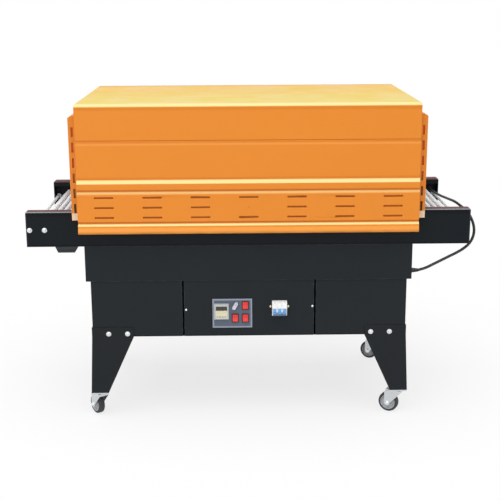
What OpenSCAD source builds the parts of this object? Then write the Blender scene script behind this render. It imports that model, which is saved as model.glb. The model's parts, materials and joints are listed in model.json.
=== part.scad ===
// Heat shrink tunnel: an insulated hood over a roller chain conveyor, on a sheet steel stand with casters.
// Millimetres, +Z up, the floor at z = 0, goods travel along X and the controls face -Y.

/* [Conveyor] */
// How far the side rails reach beyond the hood
rail_reach = 195; // [160:5:300]
// Height of a side rail
rail_height = 128; // [115:1:150]
// Width of a rail's flanges
rail_flange = 45; // [40:1:60]
// Thickness of the rail sheet
rail_sheet = 3; // [2:0.5:4]
// How far the inner edge of a rail's top is folded down
rail_return = 20; // [12:1:22]
// Distance over the outer faces of the rails
rail_span = 650; // [600:5:690]
// Diameter of a roller
roller_d = 18; // [14:0.5:20]
// Distance between rollers along the chain
roller_pitch = 23.6; // [22:0.1:38]
// Place of the first roller past the infeed shaft, in pitches
roller_start = 0.8; // [0:0.05:0.95]
// Radius on which the rollers turn at the ends
loop_radius = 22; // [20:0.5:26]
// Distance of an end shaft from the rail's end
shaft_inset = 67; // [50:1:90]
// Depth of the end shafts below the rail's top
shaft_drop = 66; // [56:1:72]
// Diameter of the end shafts
shaft_d = 20; // [16:1:22]
// Width of a conveyor chain
chain_w = 12; // [8:0.5:16]
// Height of a conveyor chain's links
chain_h = 10; // [8:0.5:11]
// Gap between a rail's web and the chain
chain_gap = 20; // [15:1:24]
// Diameter of the tie rods at the rail ends
tie_d = 12; // [8:1:16]
// Distance of a tie rod from the rail's end
tie_inset = 14; // [10:1:18]

/* [Infeed tray] */
// Width of the tray at its rim
tray_w = 80; // [60:1:100]
// Width of the tray at its bottom
tray_bottom_w = 60; // [40:1:80]
// Depth of the tray
tray_h = 22; // [15:1:40]
// Distance of the tray's middle from the rail's end
tray_inset = 141; // [110:1:150]
// Thickness of the tray's sheet
tray_sheet = 2; // [1:0.5:3]

/* [Hood] */
// Length of the hood
hood_length = 1200; // [1100:10:1300]
// How far the hood's upper walls stand out from the rails
wall_t = 39; // [30:1:60]
// How far the hood's skirt hangs below the rail tops
skirt_overlap = 70; // [50:1:90]
// Height of the walls above the skirt
wall_height = 135; // [110:1:180]
// How far the walls stand proud of the top cover
wall_proud = 2; // [1:0.5:4]
// Height of the top cover
cover_height = 125; // [100:1:150]
// Rounding of the cover's long edges
cover_round = 9; // [4:0.5:15]
// Thickness of the jambs at the tunnel's ends
jamb_t = 30; // [20:1:40]
// Thickness of the lining inside the tunnel
lining_sheet = 2; // [1:0.5:3]
// Length of an air slot in the lining
air_slot_l = 60; // [40:1:80]
// Height of an air slot in the lining
air_slot_h = 8; // [6:0.5:12]
// Distance between air slots along the tunnel
air_slot_pitch = 110; // [95:1:140]
// Distance between rows of air slots
air_row_pitch = 60; // [40:1:70]

/* [Vent skirt] */
// Height of the flared strip along the bottom
flare_height = 28; // [20:1:40]
// How far the flared strip leans out
flare_lean = 4; // [2:0.5:8]
// Height of the shoulder above the flared strip
shoulder_h = 9; // [6:0.5:14]
// How far the flared strip stands out from the slotted face
flare_out = 4; // [2:0.5:6]
// Height of the slotted face
vent_face_h = 97; // [90:1:120]
// Height of the slope above the slotted face
crown_h = 11; // [6:0.5:16]
// Height of the plain strip under the ledge
strip_h = 22; // [14:1:30]
// Height of the sloped ledge under the wall
ledge_h = 15; // [8:0.5:20]
// How far the ledge stands out from the wall
ledge_out = 8; // [4:0.5:12]
// Height of the two grooves beside the slotted face
groove_h = 5; // [3:0.5:8]
// Depth of the two grooves
groove_depth = 5; // [3:0.5:8]
// Length of a vent slot
vent_slot_l = 68; // [50:1:90]
// Height of a vent slot
vent_slot_h = 6; // [4:0.5:8]
// Depth of a vent slot
vent_slot_depth = 6; // [4:1:24]
// Least distance of a vent slot from the hood's ends
vent_margin = 40; // [30:1:60]
// Distance between the columns of vent slots
vent_pitch = 169; // [150:1:176]
// Distance between the rows of vent slots
vent_row_pitch = 35.5; // [28:0.5:38]
// How far the rows sit above the middle of the slotted face
vent_rise = 2.5; // [-3:0.5:3]

/* [End frames] */
// How far an end frame stands out from the hood
frame_d = 25; // [18:1:40]
// How far an end frame laps over the outside of each rail
frame_lap = 20; // [15:1:30]
// How far an end frame hangs below the rail tops
frame_overlap = 27; // [14:1:40]
// Height of the tunnel mouth above the rail tops
mouth_height = 255; // [220:1:300]
// Height of an end frame above the mouth
frame_header = 88; // [70:1:110]
// Drop of the bevel along an end frame's top
bevel_h = 8; // [6:1:20]
// Depth of the bevel along an end frame's top
bevel_d = 12; // [8:1:16]
// Thickness of an end frame's sheet
frame_sheet = 2; // [1.5:0.5:3]
// Width of a slot in an end frame's sides
frame_slot_w = 8; // [6:0.5:10]
// Length of a slot in an end frame's sides
frame_slot_l = 34; // [24:1:40]
// Distance between the slots in an end frame's sides
frame_slot_pitch = 54; // [45:1:58]
// Height of the lowest slot above the frame's bottom edge
frame_slot_start = 43; // [24:1:48]

/* [Cabinet] */
// How far the apron's ends sit back from the hood's
apron_end_inset = 10; // [0:1:40]
// How far the apron sits back from the rails' faces
apron_inset = 3; // [1:0.5:10]
// Height of the apron
apron_height = 131; // [110:1:160]
// How far the lower cabinet's ends sit back from the apron's
cabinet_end_inset = 16.5; // [0:0.5:40]
// How far the lower cabinet sits back from the apron's faces
cabinet_inset = 4; // [1:0.5:10]
// Height of the lower cabinet
cabinet_height = 212; // [190:1:260]
// Thickness of the cabinet's sheet
panel_sheet = 2; // [1:0.5:3]
// Width of the middle panels
middle_panel_w = 473; // [430:1:520]
// Gap between neighbouring panels
panel_gap = 7; // [2:0.5:10]

/* [Legs] */
// Height of the cabinet above the caster plates
leg_drop = 219; // [180:1:260]
// How far a leg laps over the cabinet
leg_lap = 36; // [28:1:50]
// Width of a leg's front plate at the cabinet
leg_top_w = 153; // [120:1:170]
// Width of a leg's side plate at the cabinet
leg_side_w = 130; // [110:1:150]
// Width of a leg at its foot
leg_foot_w = 64; // [54:1:70]
// How far a leg's foot stands out beyond the cabinet
leg_splay = 11; // [4:1:18]
// Thickness of the leg sheet
leg_sheet = 3; // [2:0.5:5]
// Thickness of the foot plate
foot_t = 4; // [3:0.5:6]

/* [Casters] */
// Diameter of a caster wheel
wheel_d = 75; // [68:1:100]
// How far a caster's top plate stands above its wheel
caster_rise = 25; // [23:1:35]
// Width of the tyre
tyre_w = 24; // [18:1:26]
// Distance of the axle from the swivel axis
caster_trail = 32; // [24:1:36]
// Thickness of a caster's top plate
caster_plate_t = 5; // [4:0.5:6]
// Thickness of the fork sheet
fork_sheet = 3; // [2:0.5:4]
// Space inside the fork
fork_gap = 34.6; // [34:0.2:38]
// Diameter of the axle
axle_d = 8; // [6:1:10]
// Diameter of the kingpin
kingpin_d = 12; // [8:1:14]

/* [Controls] */
// Width of the control plate
plate_w = 145; // [140:1:170]
// Height of the control plate
plate_h = 110; // [105:1:130]
// Thickness of the control plate
plate_t = 3; // [2:0.5:4]
// Distance of the control plate's middle from the machine's middle
plate_x = -61.5; // [-80:0.5:-50]
// Height of the control plate's middle above the cabinet's bottom
plate_z = 87; // [80:1:110]
// Width of the temperature controller
controller_w = 54; // [48:1:58]
// Height of the temperature controller
controller_h = 60; // [48:1:72]
// Distance of the temperature controller's middle left of the plate's
controller_left = 39.5; // [34:0.5:42]
// Height of the temperature controller's middle over the plate's
controller_up = 8; // [0:1:14]
// How far the temperature controller stands out
controller_d = 9; // [5:0.5:14]
// Width of a rocker's opening
switch_w = 21; // [18:0.5:23]
// Height of a rocker's opening
switch_h = 29; // [26:0.5:31]
// Width of the rim round a rocker
switch_rim = 2; // [1.5:0.5:3]
// How far the rim stands out
switch_rim_t = 2.5; // [1.5:0.5:3]
// Distance of the first switch column right of the plate's middle
switch_right = 10.5; // [8:0.5:16]
// Depth of the lower switch row under the plate's middle
switch_down = 18; // [14:1:26]
// Distance between the switch columns
switch_col_pitch = 37; // [32:0.5:40]
// Distance between the switch rows
switch_row_pitch = 48; // [42:0.5:52]
// Tilt of a rocker to either side
rocker_tilt = 10; // [6:1:12]
// Diameter of the speed knob's skirt
knob_d = 26; // [20:1:28]
// Length of the speed knob's pointer
knob_pointer_l = 31; // [28:1:34]
// Width of the speed knob's pointer
knob_pointer_w = 10; // [7:0.5:12]
// Tilt of the pointer from upright
knob_angle = 29; // [0:1:60]
// Width of one pole of the circuit breaker
pole_w = 18; // [16:0.5:20]
// Height of the circuit breaker
breaker_h = 55; // [54:1:70]
// How far the circuit breaker stands out
breaker_d = 22; // [18:1:28]
// Distance of the circuit breaker's middle from the machine's middle
breaker_x = 110.5; // [90:0.5:140]
// Height of the circuit breaker's middle above the cabinet's bottom
breaker_z = 107; // [80:1:130]
// Swing of the breaker's lever to either side
lever_swing = 40; // [20:1:45]

/* [Link cable] */
// Diameter of the cable
cable_d = 10; // [7:0.5:11]
// Length of a cable gland
gland_l = 26; // [20:1:30]
// Distance of the cable from the front rail's face where it leaves the apron
cable_back = 25; // [20:1:40]
// Height of the cable over the apron's bottom edge where it leaves the apron
cable_up = 27; // [24:1:40]
// Height of the cable's far end over the end shafts
cable_far_up = 18; // [14:1:24]
// Diameter of a cable gland at its seat
gland_d = 19; // [17:0.5:22]

/* [Hidden] */
$fn = 64;
eps = 0.5;
running_gap = 0.05;
seat_gap = 0.3;
switch_gap = 0.5;

// Heights, stacked from the floor up
caster_height = wheel_d + caster_rise;
cabinet_bottom = caster_height + leg_drop;
apron_bottom = cabinet_bottom + cabinet_height;
rail_bottom = apron_bottom + apron_height;
rail_top = rail_bottom + rail_height;
shaft_z = rail_top - shaft_drop;
hood_bottom = rail_top - skirt_overlap;
skirt_height = flare_height + shoulder_h + 2 * groove_h + vent_face_h + crown_h + strip_h + ledge_h;
wall_bottom = hood_bottom + skirt_height;
cover_bottom = wall_bottom + wall_height;
mouth_top = rail_top + mouth_height;

// Distances from the machine's middle
hood_end = hood_length / 2;
chamber_end = hood_end - jamb_t;
rail_end = hood_end + rail_reach;
rail_face = rail_span / 2;
rail_lip = rail_face - rail_flange;
rail_web = rail_face - rail_sheet;
wall_face = rail_face + wall_t;
frame_w = rail_span + 2 * frame_lap;
shaft_x = rail_end - shaft_inset;
chain_out = rail_web - chain_gap;
chain_in = chain_out - chain_w;
chain_mid = (chain_in + chain_out) / 2;
apron_end = hood_end - apron_end_inset;
apron_face = rail_face - apron_inset;
cabinet_end = apron_end - cabinet_end_inset;
cabinet_face = apron_face - cabinet_inset;
panel_edge = middle_panel_w / 2 + panel_gap;

// Roller loop: two straight runs joined by half circles round the end shafts
loop_run = 2 * shaft_x;
loop_turn = PI * loop_radius;
loop_length = 2 * (loop_run + loop_turn);
roller_count = floor(loop_length / roller_pitch);
roller_step = loop_length / roller_count;

// Vent skirt: slotted columns, with the middle slot of the middle column left out
vent_columns = 1 + floor((hood_length - 2 * vent_margin - vent_slot_l) / vent_pitch);
vent_rows = 3;
vent_face_z = hood_bottom + flare_height + shoulder_h + groove_h + vent_face_h / 2 + vent_rise;
frame_slots = 6;
air_rows = 3;

// Casters: front left, front right, rear right, rear left, each turned as it was left standing
caster_sides = [[-1, -1], [1, -1], [1, 1], [-1, 1]];
caster_yaws = [126, 152, 150, 146];
foot_out = cabinet_end + leg_splay;
stem_x = foot_out + leg_sheet - leg_foot_w / 2;
stem_y = cabinet_face + leg_sheet - leg_foot_w / 2;
plate_bottom = caster_height - caster_plate_t;
crown_top = plate_bottom - seat_gap;
crown_bottom = wheel_d + 6;

// Controls: a two by two field of switches beside the temperature controller
plate_mid = cabinet_bottom + plate_z;
switch_x = [plate_x + switch_right, plate_x + switch_right + switch_col_pitch];
switch_z = [plate_mid - switch_down, plate_mid - switch_down + switch_row_pitch];
controller_x = plate_x - controller_left;
controller_z = plate_mid + controller_up;
rocker_r = switch_h / 2 - switch_gap;
breaker_w = 3 * pole_w;
lever_r = 9;
lever_drop = 8;

// Link cable: from the apron's right end, round the front rail's end and over to the rear rail
cable_start = [apron_end + gland_l, -rail_face + cable_back, apron_bottom + cable_up];
cable_cross = shaft_x + loop_radius + (roller_d + cable_d) / 2 + 1;
cable_finish = [cable_cross, rail_web - gland_l, shaft_z + cable_far_up];
// Points of the climb to the rail's end: share of the way, share of the rise
cable_climb = [[0, 0], [0.2, 0.13], [0.4, 0.34], [0.6, 0.56], [0.8, 0.78]];
// Points round the rail's end, from its upper inner corner
cable_bend = [
    [-39, -19, -167], [-13, -17, -151], [6, -14, -134], [17, -11, -115],
    [22, -8, -94], [21, -4, -73], [15, 2, -52], [5, 11, -32]
];
// Points over the roller bed: X from the crossing line, share of the way to the rear, height over the finish
cable_span = [
    [21, 0.05, 32], [9, 0.10, 41], [3, 0.16, 44], [0, 0.23, 42], [0, 0.32, 36], [0, 0.41, 30],
    [0, 0.50, 24], [0, 0.59, 18], [0, 0.68, 13], [0, 0.77, 8], [0, 0.86, 4], [0, 0.93, 1]
];
cable_rise = [rail_end, -rail_lip, rail_top] + cable_bend[0] - cable_start;
cable_points = concat(
    [for (p = cable_climb) cable_start + [p[0] * cable_rise[0], p[0] * cable_rise[1], p[1] * cable_rise[2]]],
    [for (p = cable_bend) [rail_end, -rail_lip, rail_top] + p],
    [for (p = cable_span) [
        cable_cross + p[0], p[1] * (rail_lip + cable_finish[1]) - rail_lip, cable_finish[2] + p[2]
    ]],
    [cable_finish]
);

// Helpers
// Extrudes a (Y, Z) outline along X, centred
module along_x(length) { rotate([90, 0, 90]) linear_extrude(length, center = true) children(); }
// Extrudes an (X, Z) outline along Y, centred
module along_y(length) { rotate([90, 0, 0]) linear_extrude(length, center = true) children(); }
// A box from its two corners
module block(low, high) { translate(low) cube(high - low); }
// Turns what is modelled on the +Y side round to the front
module to_front() { mirror([0, 1, 0]) children(); }
// Repeats what is modelled at the +X end at the -X end
module both_ends() { children(); mirror([1, 0, 0]) children(); }
// Repeats what is modelled on the +Y side on the -Y side
module both_sides() { children(); mirror([0, 1, 0]) children(); }
// A slot with round ends, centred, long along X and cut along Y
module slot_x(length, height, depth) {
    cube([length - height, depth, height], center = true);
    for (side = [-1, 1]) translate([side * (length - height) / 2, 0, 0])
        rotate([90, 0, 0]) cylinder(h = depth, d = height, center = true, $fn = 24);
}

// Conveyor
// Section of a rail: a channel that opens inwards, with the edge of its top flange folded down
module rail_outline() {
    difference() {
        translate([rail_lip, rail_bottom]) square([rail_flange, rail_height]);
        translate([rail_lip + rail_sheet, rail_bottom + rail_sheet])
            square([rail_flange - 2 * rail_sheet, rail_height - 2 * rail_sheet]);
        translate([rail_lip - eps, rail_bottom + rail_sheet])
            square([2 * rail_sheet, rail_height - rail_sheet - rail_return]);
    }
}

module rail() {
    color("#1f2326") {
        along_x(2 * rail_end) rail_outline();
        both_ends() block([rail_end - rail_sheet, rail_lip, rail_bottom], [rail_end, rail_face, rail_top]);
    }
}

module rail_ties() {
    color("#1f2326") both_ends() translate([rail_end - tie_inset, 0, shaft_z])
        rotate([90, 0, 0]) cylinder(h = 2 * rail_web, d = tie_d, center = true);
}

function on_turn(angle, side) =
    [side * shaft_x + loop_radius * cos(angle), shaft_z + loop_radius * sin(angle)];
function loop_angle(s) = s / loop_radius * 180 / PI;
function loop_point(s) =
    s < loop_run ? [s - shaft_x, shaft_z + loop_radius]
    : s < loop_run + loop_turn ? on_turn(90 - loop_angle(s - loop_run), 1)
    : s < 2 * loop_run + loop_turn ? [shaft_x - (s - loop_run - loop_turn), shaft_z - loop_radius]
    : on_turn(270 - loop_angle(s - 2 * loop_run - loop_turn), -1);

module conveyor_rollers() {
    color("#d9dcdd") for (i = [0 : roller_count - 1]) {
        at = loop_point((i + roller_start) * roller_step);
        translate([at[0], 0, at[1]]) rotate([90, 0, 0])
            cylinder(h = 2 * chain_in, d = roller_d, center = true, $fn = 24);
    }
}

module loop_outline(r) {
    translate([-shaft_x, shaft_z - r]) square([loop_run, 2 * r]);
    for (side = [-1, 1]) translate([side * shaft_x, shaft_z]) circle(r);
}

module conveyor_chains() {
    color("#6d7174") both_sides() translate([0, chain_mid, 0]) along_y(chain_w) difference() {
        loop_outline(loop_radius + chain_h / 2);
        loop_outline(loop_radius - chain_h / 2);
    }
}

module end_shafts() {
    sprocket_r = loop_radius - chain_h / 2 - seat_gap;
    color("#8f9496") both_ends() translate([shaft_x, 0, shaft_z]) rotate([90, 0, 0]) {
        cylinder(h = 2 * rail_web, d = shaft_d, center = true);
        for (side = [-1, 1]) translate([0, 0, side * chain_mid])
            cylinder(h = chain_w, r = sprocket_r, center = true);
    }
}

module tray_outline(inset, rim) {
    polygon([
        [-tray_w / 2 + inset, rim], [tray_w / 2 - inset, rim],
        [tray_bottom_w / 2 - inset, -tray_h + inset], [-tray_bottom_w / 2 + inset, -tray_h + inset]
    ]);
}

module infeed_tray() {
    color("#3a3e40") translate([tray_inset - rail_end, 0, rail_bottom]) difference() {
        along_y(2 * rail_web) tray_outline(0, 0);
        along_y(2 * (rail_web - tray_sheet)) tray_outline(tray_sheet, eps);
    }
}

// Hood
module cover_outline() {
    inner = wall_face - cover_round;
    round_z = cover_bottom + cover_height - cover_round;
    translate([-wall_face, cover_bottom]) square([2 * wall_face, cover_height - cover_round]);
    translate([-inner, cover_bottom]) square([2 * inner, cover_height]);
    for (side = [-1, 1]) translate([side * inner, round_z]) circle(cover_round);
}

module hood_top_cover() { color("#e8912f") along_x(hood_length) cover_outline(); }

module hood_wall() {
    color("#e8912f")
        block([-hood_end, rail_face, wall_bottom], [hood_end, wall_face + wall_proud, cover_bottom]);
}

// Outline of the skirt, as (distance out from the rails, height above its bottom edge)
module skirt_outline() {
    vent_out = wall_t + wall_proud + ledge_out;
    groove_out = vent_out - groove_depth;
    shoulder_z = flare_height + shoulder_h;
    vent_z = shoulder_z + groove_h;
    crown_z = vent_z + vent_face_h;
    upper_groove_z = crown_z + crown_h;
    strip_z = upper_groove_z + groove_h;
    polygon([
        [0, 0], [vent_out + flare_out + flare_lean, 0], [vent_out + flare_out, flare_height],
        [groove_out, shoulder_z], [groove_out, vent_z], [vent_out, vent_z], [vent_out, crown_z],
        [groove_out, upper_groove_z], [groove_out, strip_z], [vent_out, strip_z],
        [vent_out, strip_z + strip_h], [wall_t + wall_proud, skirt_height], [0, skirt_height]
    ]);
}

module vent_skirt() {
    slot_y = wall_face + wall_proud + ledge_out;
    color("#e8912f") difference() {
        translate([0, rail_face, hood_bottom]) along_x(hood_length) skirt_outline();
        for (column = [0 : vent_columns - 1], row = [0 : vent_rows - 1]) {
            across = column - (vent_columns - 1) / 2;
            up = row - (vent_rows - 1) / 2;
            if (across != 0 || up != 0)
                translate([across * vent_pitch, slot_y, vent_face_z + up * vent_row_pitch])
                    slot_x(vent_slot_l, vent_slot_h, 2 * vent_slot_depth);
        }
    }
}

module end_jambs() {
    color("#e8912f") both_sides()
        block([chamber_end, rail_lip, rail_top], [hood_end, rail_face, cover_bottom]);
}

// Outline of an end frame, as (distance out from the hood, height), taken in by the sheet's thickness
module frame_outline(inset) {
    bottom = rail_top - frame_overlap + inset;
    top = mouth_top + frame_header - inset;
    polygon([
        [-inset, bottom], [frame_d - inset, bottom], [frame_d - inset, top - bevel_h],
        [frame_d - bevel_d - inset, top], [-inset, top]
    ]);
}

// The frame's body round the mouth and clear of the rails, taken in by the sheet's thickness
module frame_body(inset) {
    difference() {
        along_y(frame_w - 2 * inset) frame_outline(inset);
        block([-frame_d, -rail_lip - inset, 0], [2 * frame_d, rail_lip + inset, mouth_top + inset]);
        block([-frame_d, -rail_face - inset, 0], [2 * frame_d, rail_face + inset, rail_top + inset]);
    }
}

module end_frame() {
    color("#e8912f") translate([hood_end, 0, 0]) difference() {
        frame_body(0);
        frame_body(frame_sheet);
        for (side = [-1, 1], i = [0 : frame_slots - 1])
            translate([
                (frame_d - frame_sheet) / 2, side * frame_w / 2,
                rail_top - frame_overlap + frame_slot_start + i * frame_slot_pitch
            ]) cube([frame_slot_w, 4 * frame_sheet, frame_slot_l], center = true);
    }
}

module air_slots(rows, up, depth) {
    columns = floor((2 * chamber_end - air_slot_l) / air_slot_pitch);
    for (column = [0 : columns - 1], row = [0 : rows - 1]) {
        x = (column - (columns - 1) / 2) * air_slot_pitch;
        z = up + (row - (rows - 1) / 2) * air_row_pitch;
        translate([x, 0, z]) slot_x(air_slot_l, air_slot_h, depth);
    }
}

module duct_plates() {
    ceiling = cover_bottom - lining_sheet;
    color("#b8bcbe") both_sides() difference() {
        block([-chamber_end, rail_lip, rail_top], [chamber_end, rail_lip + lining_sheet, ceiling]);
        translate([0, rail_lip, 0]) air_slots(air_rows, (rail_top + ceiling) / 2, 4 * lining_sheet);
    }
}

module tunnel_ceiling() {
    ceiling = cover_bottom - lining_sheet;
    color("#b8bcbe") difference() {
        block([-chamber_end, -rail_face, ceiling], [chamber_end, rail_face, cover_bottom]);
        translate([0, 0, cover_bottom]) rotate([90, 0, 0]) air_slots(air_rows, 0, 4 * lining_sheet);
    }
}

// Cabinet
module apron() {
    inner = apron_face - panel_sheet;
    color("#2b2f32") block([-apron_end, inner, apron_bottom], [apron_end, apron_face, rail_bottom]);
}

module apron_ends() {
    inner = apron_face - panel_sheet;
    color("#2b2f32") both_ends()
        block([apron_end - panel_sheet, -inner, apron_bottom], [apron_end, inner, rail_bottom]);
}

module apron_floor() {
    end = apron_end - panel_sheet;
    inner = apron_face - panel_sheet;
    color("#2b2f32") block([-end, -inner, apron_bottom], [end, inner, apron_bottom + panel_sheet]);
}

module side_panels() {
    inner = cabinet_face - panel_sheet;
    color("#26292c") both_ends()
        block([panel_edge, inner, cabinet_bottom], [cabinet_end, cabinet_face, apron_bottom]);
}

module middle_panel() {
    inner = cabinet_face - panel_sheet;
    half = middle_panel_w / 2;
    color("#26292c") block([-half, inner, cabinet_bottom], [half, cabinet_face, apron_bottom]);
}

module rear_panels() {
    side_panels();
    middle_panel();
}

module cabinet_ends() {
    inner = cabinet_face - panel_sheet;
    color("#26292c") both_ends()
        block([cabinet_end - panel_sheet, -inner, cabinet_bottom], [cabinet_end, inner, apron_bottom]);
}

module cabinet_floor() {
    end = cabinet_end - panel_sheet;
    inner = cabinet_face - panel_sheet;
    color("#26292c") block([-end, -inner, cabinet_bottom], [end, inner, cabinet_bottom + panel_sheet]);
}

// A tapered leg plate seen square on: upright over the cabinet, then leaning out to the foot
module leg_outline(edge, foot, top_w, foot_w) {
    top = cabinet_bottom + leg_lap;
    polygon([
        [edge, top], [edge, cabinet_bottom], [foot, caster_height],
        [foot - foot_w, caster_height], [edge - top_w, cabinet_bottom], [edge - top_w, top]
    ]);
}

// A leg at the +X, +Y corner: a front plate, a side plate and a foot plate
module leg() {
    front_y = cabinet_face + leg_sheet;
    color("#24272a") {
        translate([0, front_y - leg_sheet / 2, 0]) along_y(leg_sheet)
            leg_outline(cabinet_end + leg_sheet, foot_out + leg_sheet, leg_top_w, leg_foot_w);
        intersection() {
            translate([0, front_y, 0]) along_y(2 * leg_side_w)
                leg_outline(cabinet_end + leg_sheet, foot_out + leg_sheet, leg_sheet, leg_sheet);
            along_x(4 * cabinet_end) leg_outline(front_y, front_y, leg_side_w, leg_foot_w);
        }
        block(
            [foot_out + leg_sheet - leg_foot_w, front_y - leg_foot_w, caster_height],
            [foot_out + leg_sheet / 2, front_y, caster_height + foot_t]
        );
    }
}

module leg_at(side) { scale_x(side[0]) scale_y(side[1]) leg(); }
module scale_x(side) { if (side > 0) children(); else mirror([1, 0, 0]) children(); }
module scale_y(side) { if (side > 0) children(); else mirror([0, 1, 0]) children(); }

// Controls
// Turns what is modelled flat, with Z as out, to stand on the front of the cabinet
module on_panel(x, z, out) { translate([x, -cabinet_face - out, z]) rotate([90, 0, 0]) children(); }

module switch_openings(depth) {
    for (at = [[0, 0], [1, 0], [1, 1]])
        on_panel(switch_x[at[0]], switch_z[at[1]], 0) cube([switch_w, switch_h, depth], center = true);
}

module control_panel() {
    color("#26292c") difference() {
        to_front() middle_panel();
        switch_openings(6 * plate_t);
        on_panel(switch_x[0], switch_z[1], 0) cylinder(h = 6 * plate_t, d = knob_d / 2, center = true);
    }
}

module control_plate() {
    color("#5d6a78") difference() {
        on_panel(plate_x, plate_mid, plate_t / 2)
            cube([plate_w, plate_h, plate_t], center = true);
        switch_openings(6 * plate_t);
        on_panel(switch_x[0], switch_z[1], 0)
            cylinder(h = 6 * plate_t, d = knob_d / 4 + 2 * running_gap, center = true);
    }
}

module temperature_controller() {
    color("#c9ccc6") on_panel(controller_x, controller_z, plate_t) {
        translate([0, 0, controller_d / 3])
            cube([controller_w, controller_h, controller_d * 2 / 3], center = true);
        translate([0, 0, controller_d / 2])
            cube([controller_w - controller_d, controller_h - controller_d, controller_d], center = true);
    }
}

module switch_rims() {
    color("#1a1b1d") for (at = [[0, 0], [1, 0], [1, 1]])
        on_panel(switch_x[at[0]], switch_z[at[1]], plate_t + switch_rim_t / 2) difference() {
            cube([switch_w + 2 * switch_rim, switch_h + 2 * switch_rim, switch_rim_t], center = true);
            cube([switch_w, switch_h, 2 * switch_rim_t], center = true);
        }
}

// A rocker with a shallow V front and round ends, turned about a pin in the plane of its rim
module rocker(column, row) {
    reach = rocker_r + eps;
    color("#d3231f") on_panel(switch_x[column], switch_z[row], plate_t) rotate([-rocker_tilt, 0, 0])
        rotate([0, 90, 0]) linear_extrude(switch_w - 2 * switch_gap, center = true) intersection() {
            circle(rocker_r);
            polygon([
                [6, -reach], [6, reach], [-rocker_r / 2, reach], [-rocker_r / 4, 0], [-rocker_r / 2, -reach]
            ]);
        }
}

module speed_knob() {
    color("#c8c6d4") on_panel(switch_x[0], switch_z[1], plate_t) {
        translate([0, 0, -plate_t]) cylinder(h = 2 * plate_t, d = knob_d / 4);
        translate([0, 0, seat_gap]) cylinder(h = plate_t + eps, d = knob_d);
        rotate([0, 0, -knob_angle]) translate([0, 0, plate_t + 4])
            cube([knob_pointer_w, knob_pointer_l, 8], center = true);
    }
}

module breaker_outline(height) {
    polygon([
        [0, -height / 2], [0, height / 2], [breaker_d * 0.6, height / 2], [breaker_d, height / 3],
        [breaker_d, -height / 3], [breaker_d * 0.6, -height / 2]
    ]);
}

module circuit_breaker() {
    at = [breaker_x, -cabinet_face, cabinet_bottom + breaker_z];
    color("#eceae4") translate(at) to_front() difference() {
        along_x(breaker_w) breaker_outline(breaker_h);
        translate([0, breaker_d - 2, -lever_drop]) rotate([0, 90, 0])
            cylinder(h = breaker_w - 4 + 2 * seat_gap, r = lever_r + seat_gap, center = true);
    }
}

module breaker_lever() {
    pin = [breaker_x, -cabinet_face - breaker_d + 2, cabinet_bottom + breaker_z - lever_drop];
    color("#2d6fb7") translate(pin) {
        rotate([0, 90, 0]) cylinder(h = breaker_w - 4, r = lever_r, center = true);
        for (pole = [-1, 0, 1]) translate([pole * pole_w, 0, 0]) rotate([lever_swing, 0, 0])
            translate([0, -lever_r, 0]) cube([pole_w * 0.6, 2 * lever_r, 5], center = true);
        rotate([lever_swing, 0, 0]) translate([0, -1.8 * lever_r, 0])
            cube([pole_w * 2.7, lever_r / 2, 7], center = true);
    }
}

// Casters, modelled with the swivel axis on Z and the wheel trailing along +X
module at_stem(i) { translate([caster_sides[i][0] * stem_x, caster_sides[i][1] * stem_y, 0]) children(); }
module at_caster(i) { at_stem(i) rotate([0, 0, caster_yaws[i]]) children(); }

module caster_plates() {
    side = leg_foot_w - 2;
    color("#aeb3b5") for (i = [0 : 3]) at_stem(i) translate([0, 0, plate_bottom]) difference() {
        translate([-side / 2, -side / 2, 0]) cube([side, side, caster_plate_t]);
        translate([0, 0, -eps]) cylinder(h = 2 * caster_plate_t, d = kingpin_d + 2 * running_gap);
    }
}

module fork_cheek() {
    boss = axle_d * 1.4;
    axle_z = wheel_d / 2;
    top = crown_top - 4;
    rotate([90, 0, 0]) linear_extrude(fork_sheet, center = true) {
        translate([caster_trail, axle_z]) circle(boss);
        polygon([
            [-wheel_d / 4, top], [-wheel_d / 4, crown_bottom], [caster_trail - boss, axle_z],
            [caster_trail + boss, axle_z], [caster_trail + boss, crown_bottom], [wheel_d / 3, top]
        ]);
    }
}

module fork() {
    cheek_y = (fork_gap + fork_sheet) / 2;
    color("#b9bdbf") {
        for (side = [-1, 1]) translate([0, side * cheek_y, 0]) fork_cheek();
        block(
            [-wheel_d / 4, -fork_gap / 2, crown_bottom],
            [caster_trail + axle_d, fork_gap / 2, crown_top - 4]
        );
        translate([0, 0, crown_bottom]) cylinder(h = crown_top - crown_bottom, d = fork_gap + 2 * fork_sheet);
        translate([0, 0, crown_bottom]) cylinder(h = caster_height - 1 - crown_bottom, d = kingpin_d);
        translate([caster_trail, 0, wheel_d / 2]) rotate([90, 0, 0])
            cylinder(h = fork_gap + 4 * fork_sheet, d = axle_d, center = true);
    }
}

// Section of a wheel: hub, web and a tyre with sloped shoulders, as (radius, distance from the middle)
module wheel_section() {
    r = wheel_d / 2;
    half = tyre_w / 2;
    bore = axle_d / 2 + running_gap;
    side = [
        [bore, fork_gap / 2 - seat_gap], [axle_d, fork_gap / 2 - seat_gap], [axle_d * 1.2, half * 0.6],
        [r * 0.66, half * 0.5], [r * 0.7, half], [r * 0.9, half], [r * 0.98, half * 0.8], [r, half * 0.55]
    ];
    last = len(side) - 1;
    polygon(concat(side, [for (i = [last : -1 : 0]) [side[i][0], -side[i][1]]]));
}

module wheel(i) {
    color("#3b3d3f") at_caster(i) translate([caster_trail, 0, wheel_d / 2]) rotate([90, 0, 0])
        rotate_extrude($fn = 96) wheel_section();
}

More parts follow.
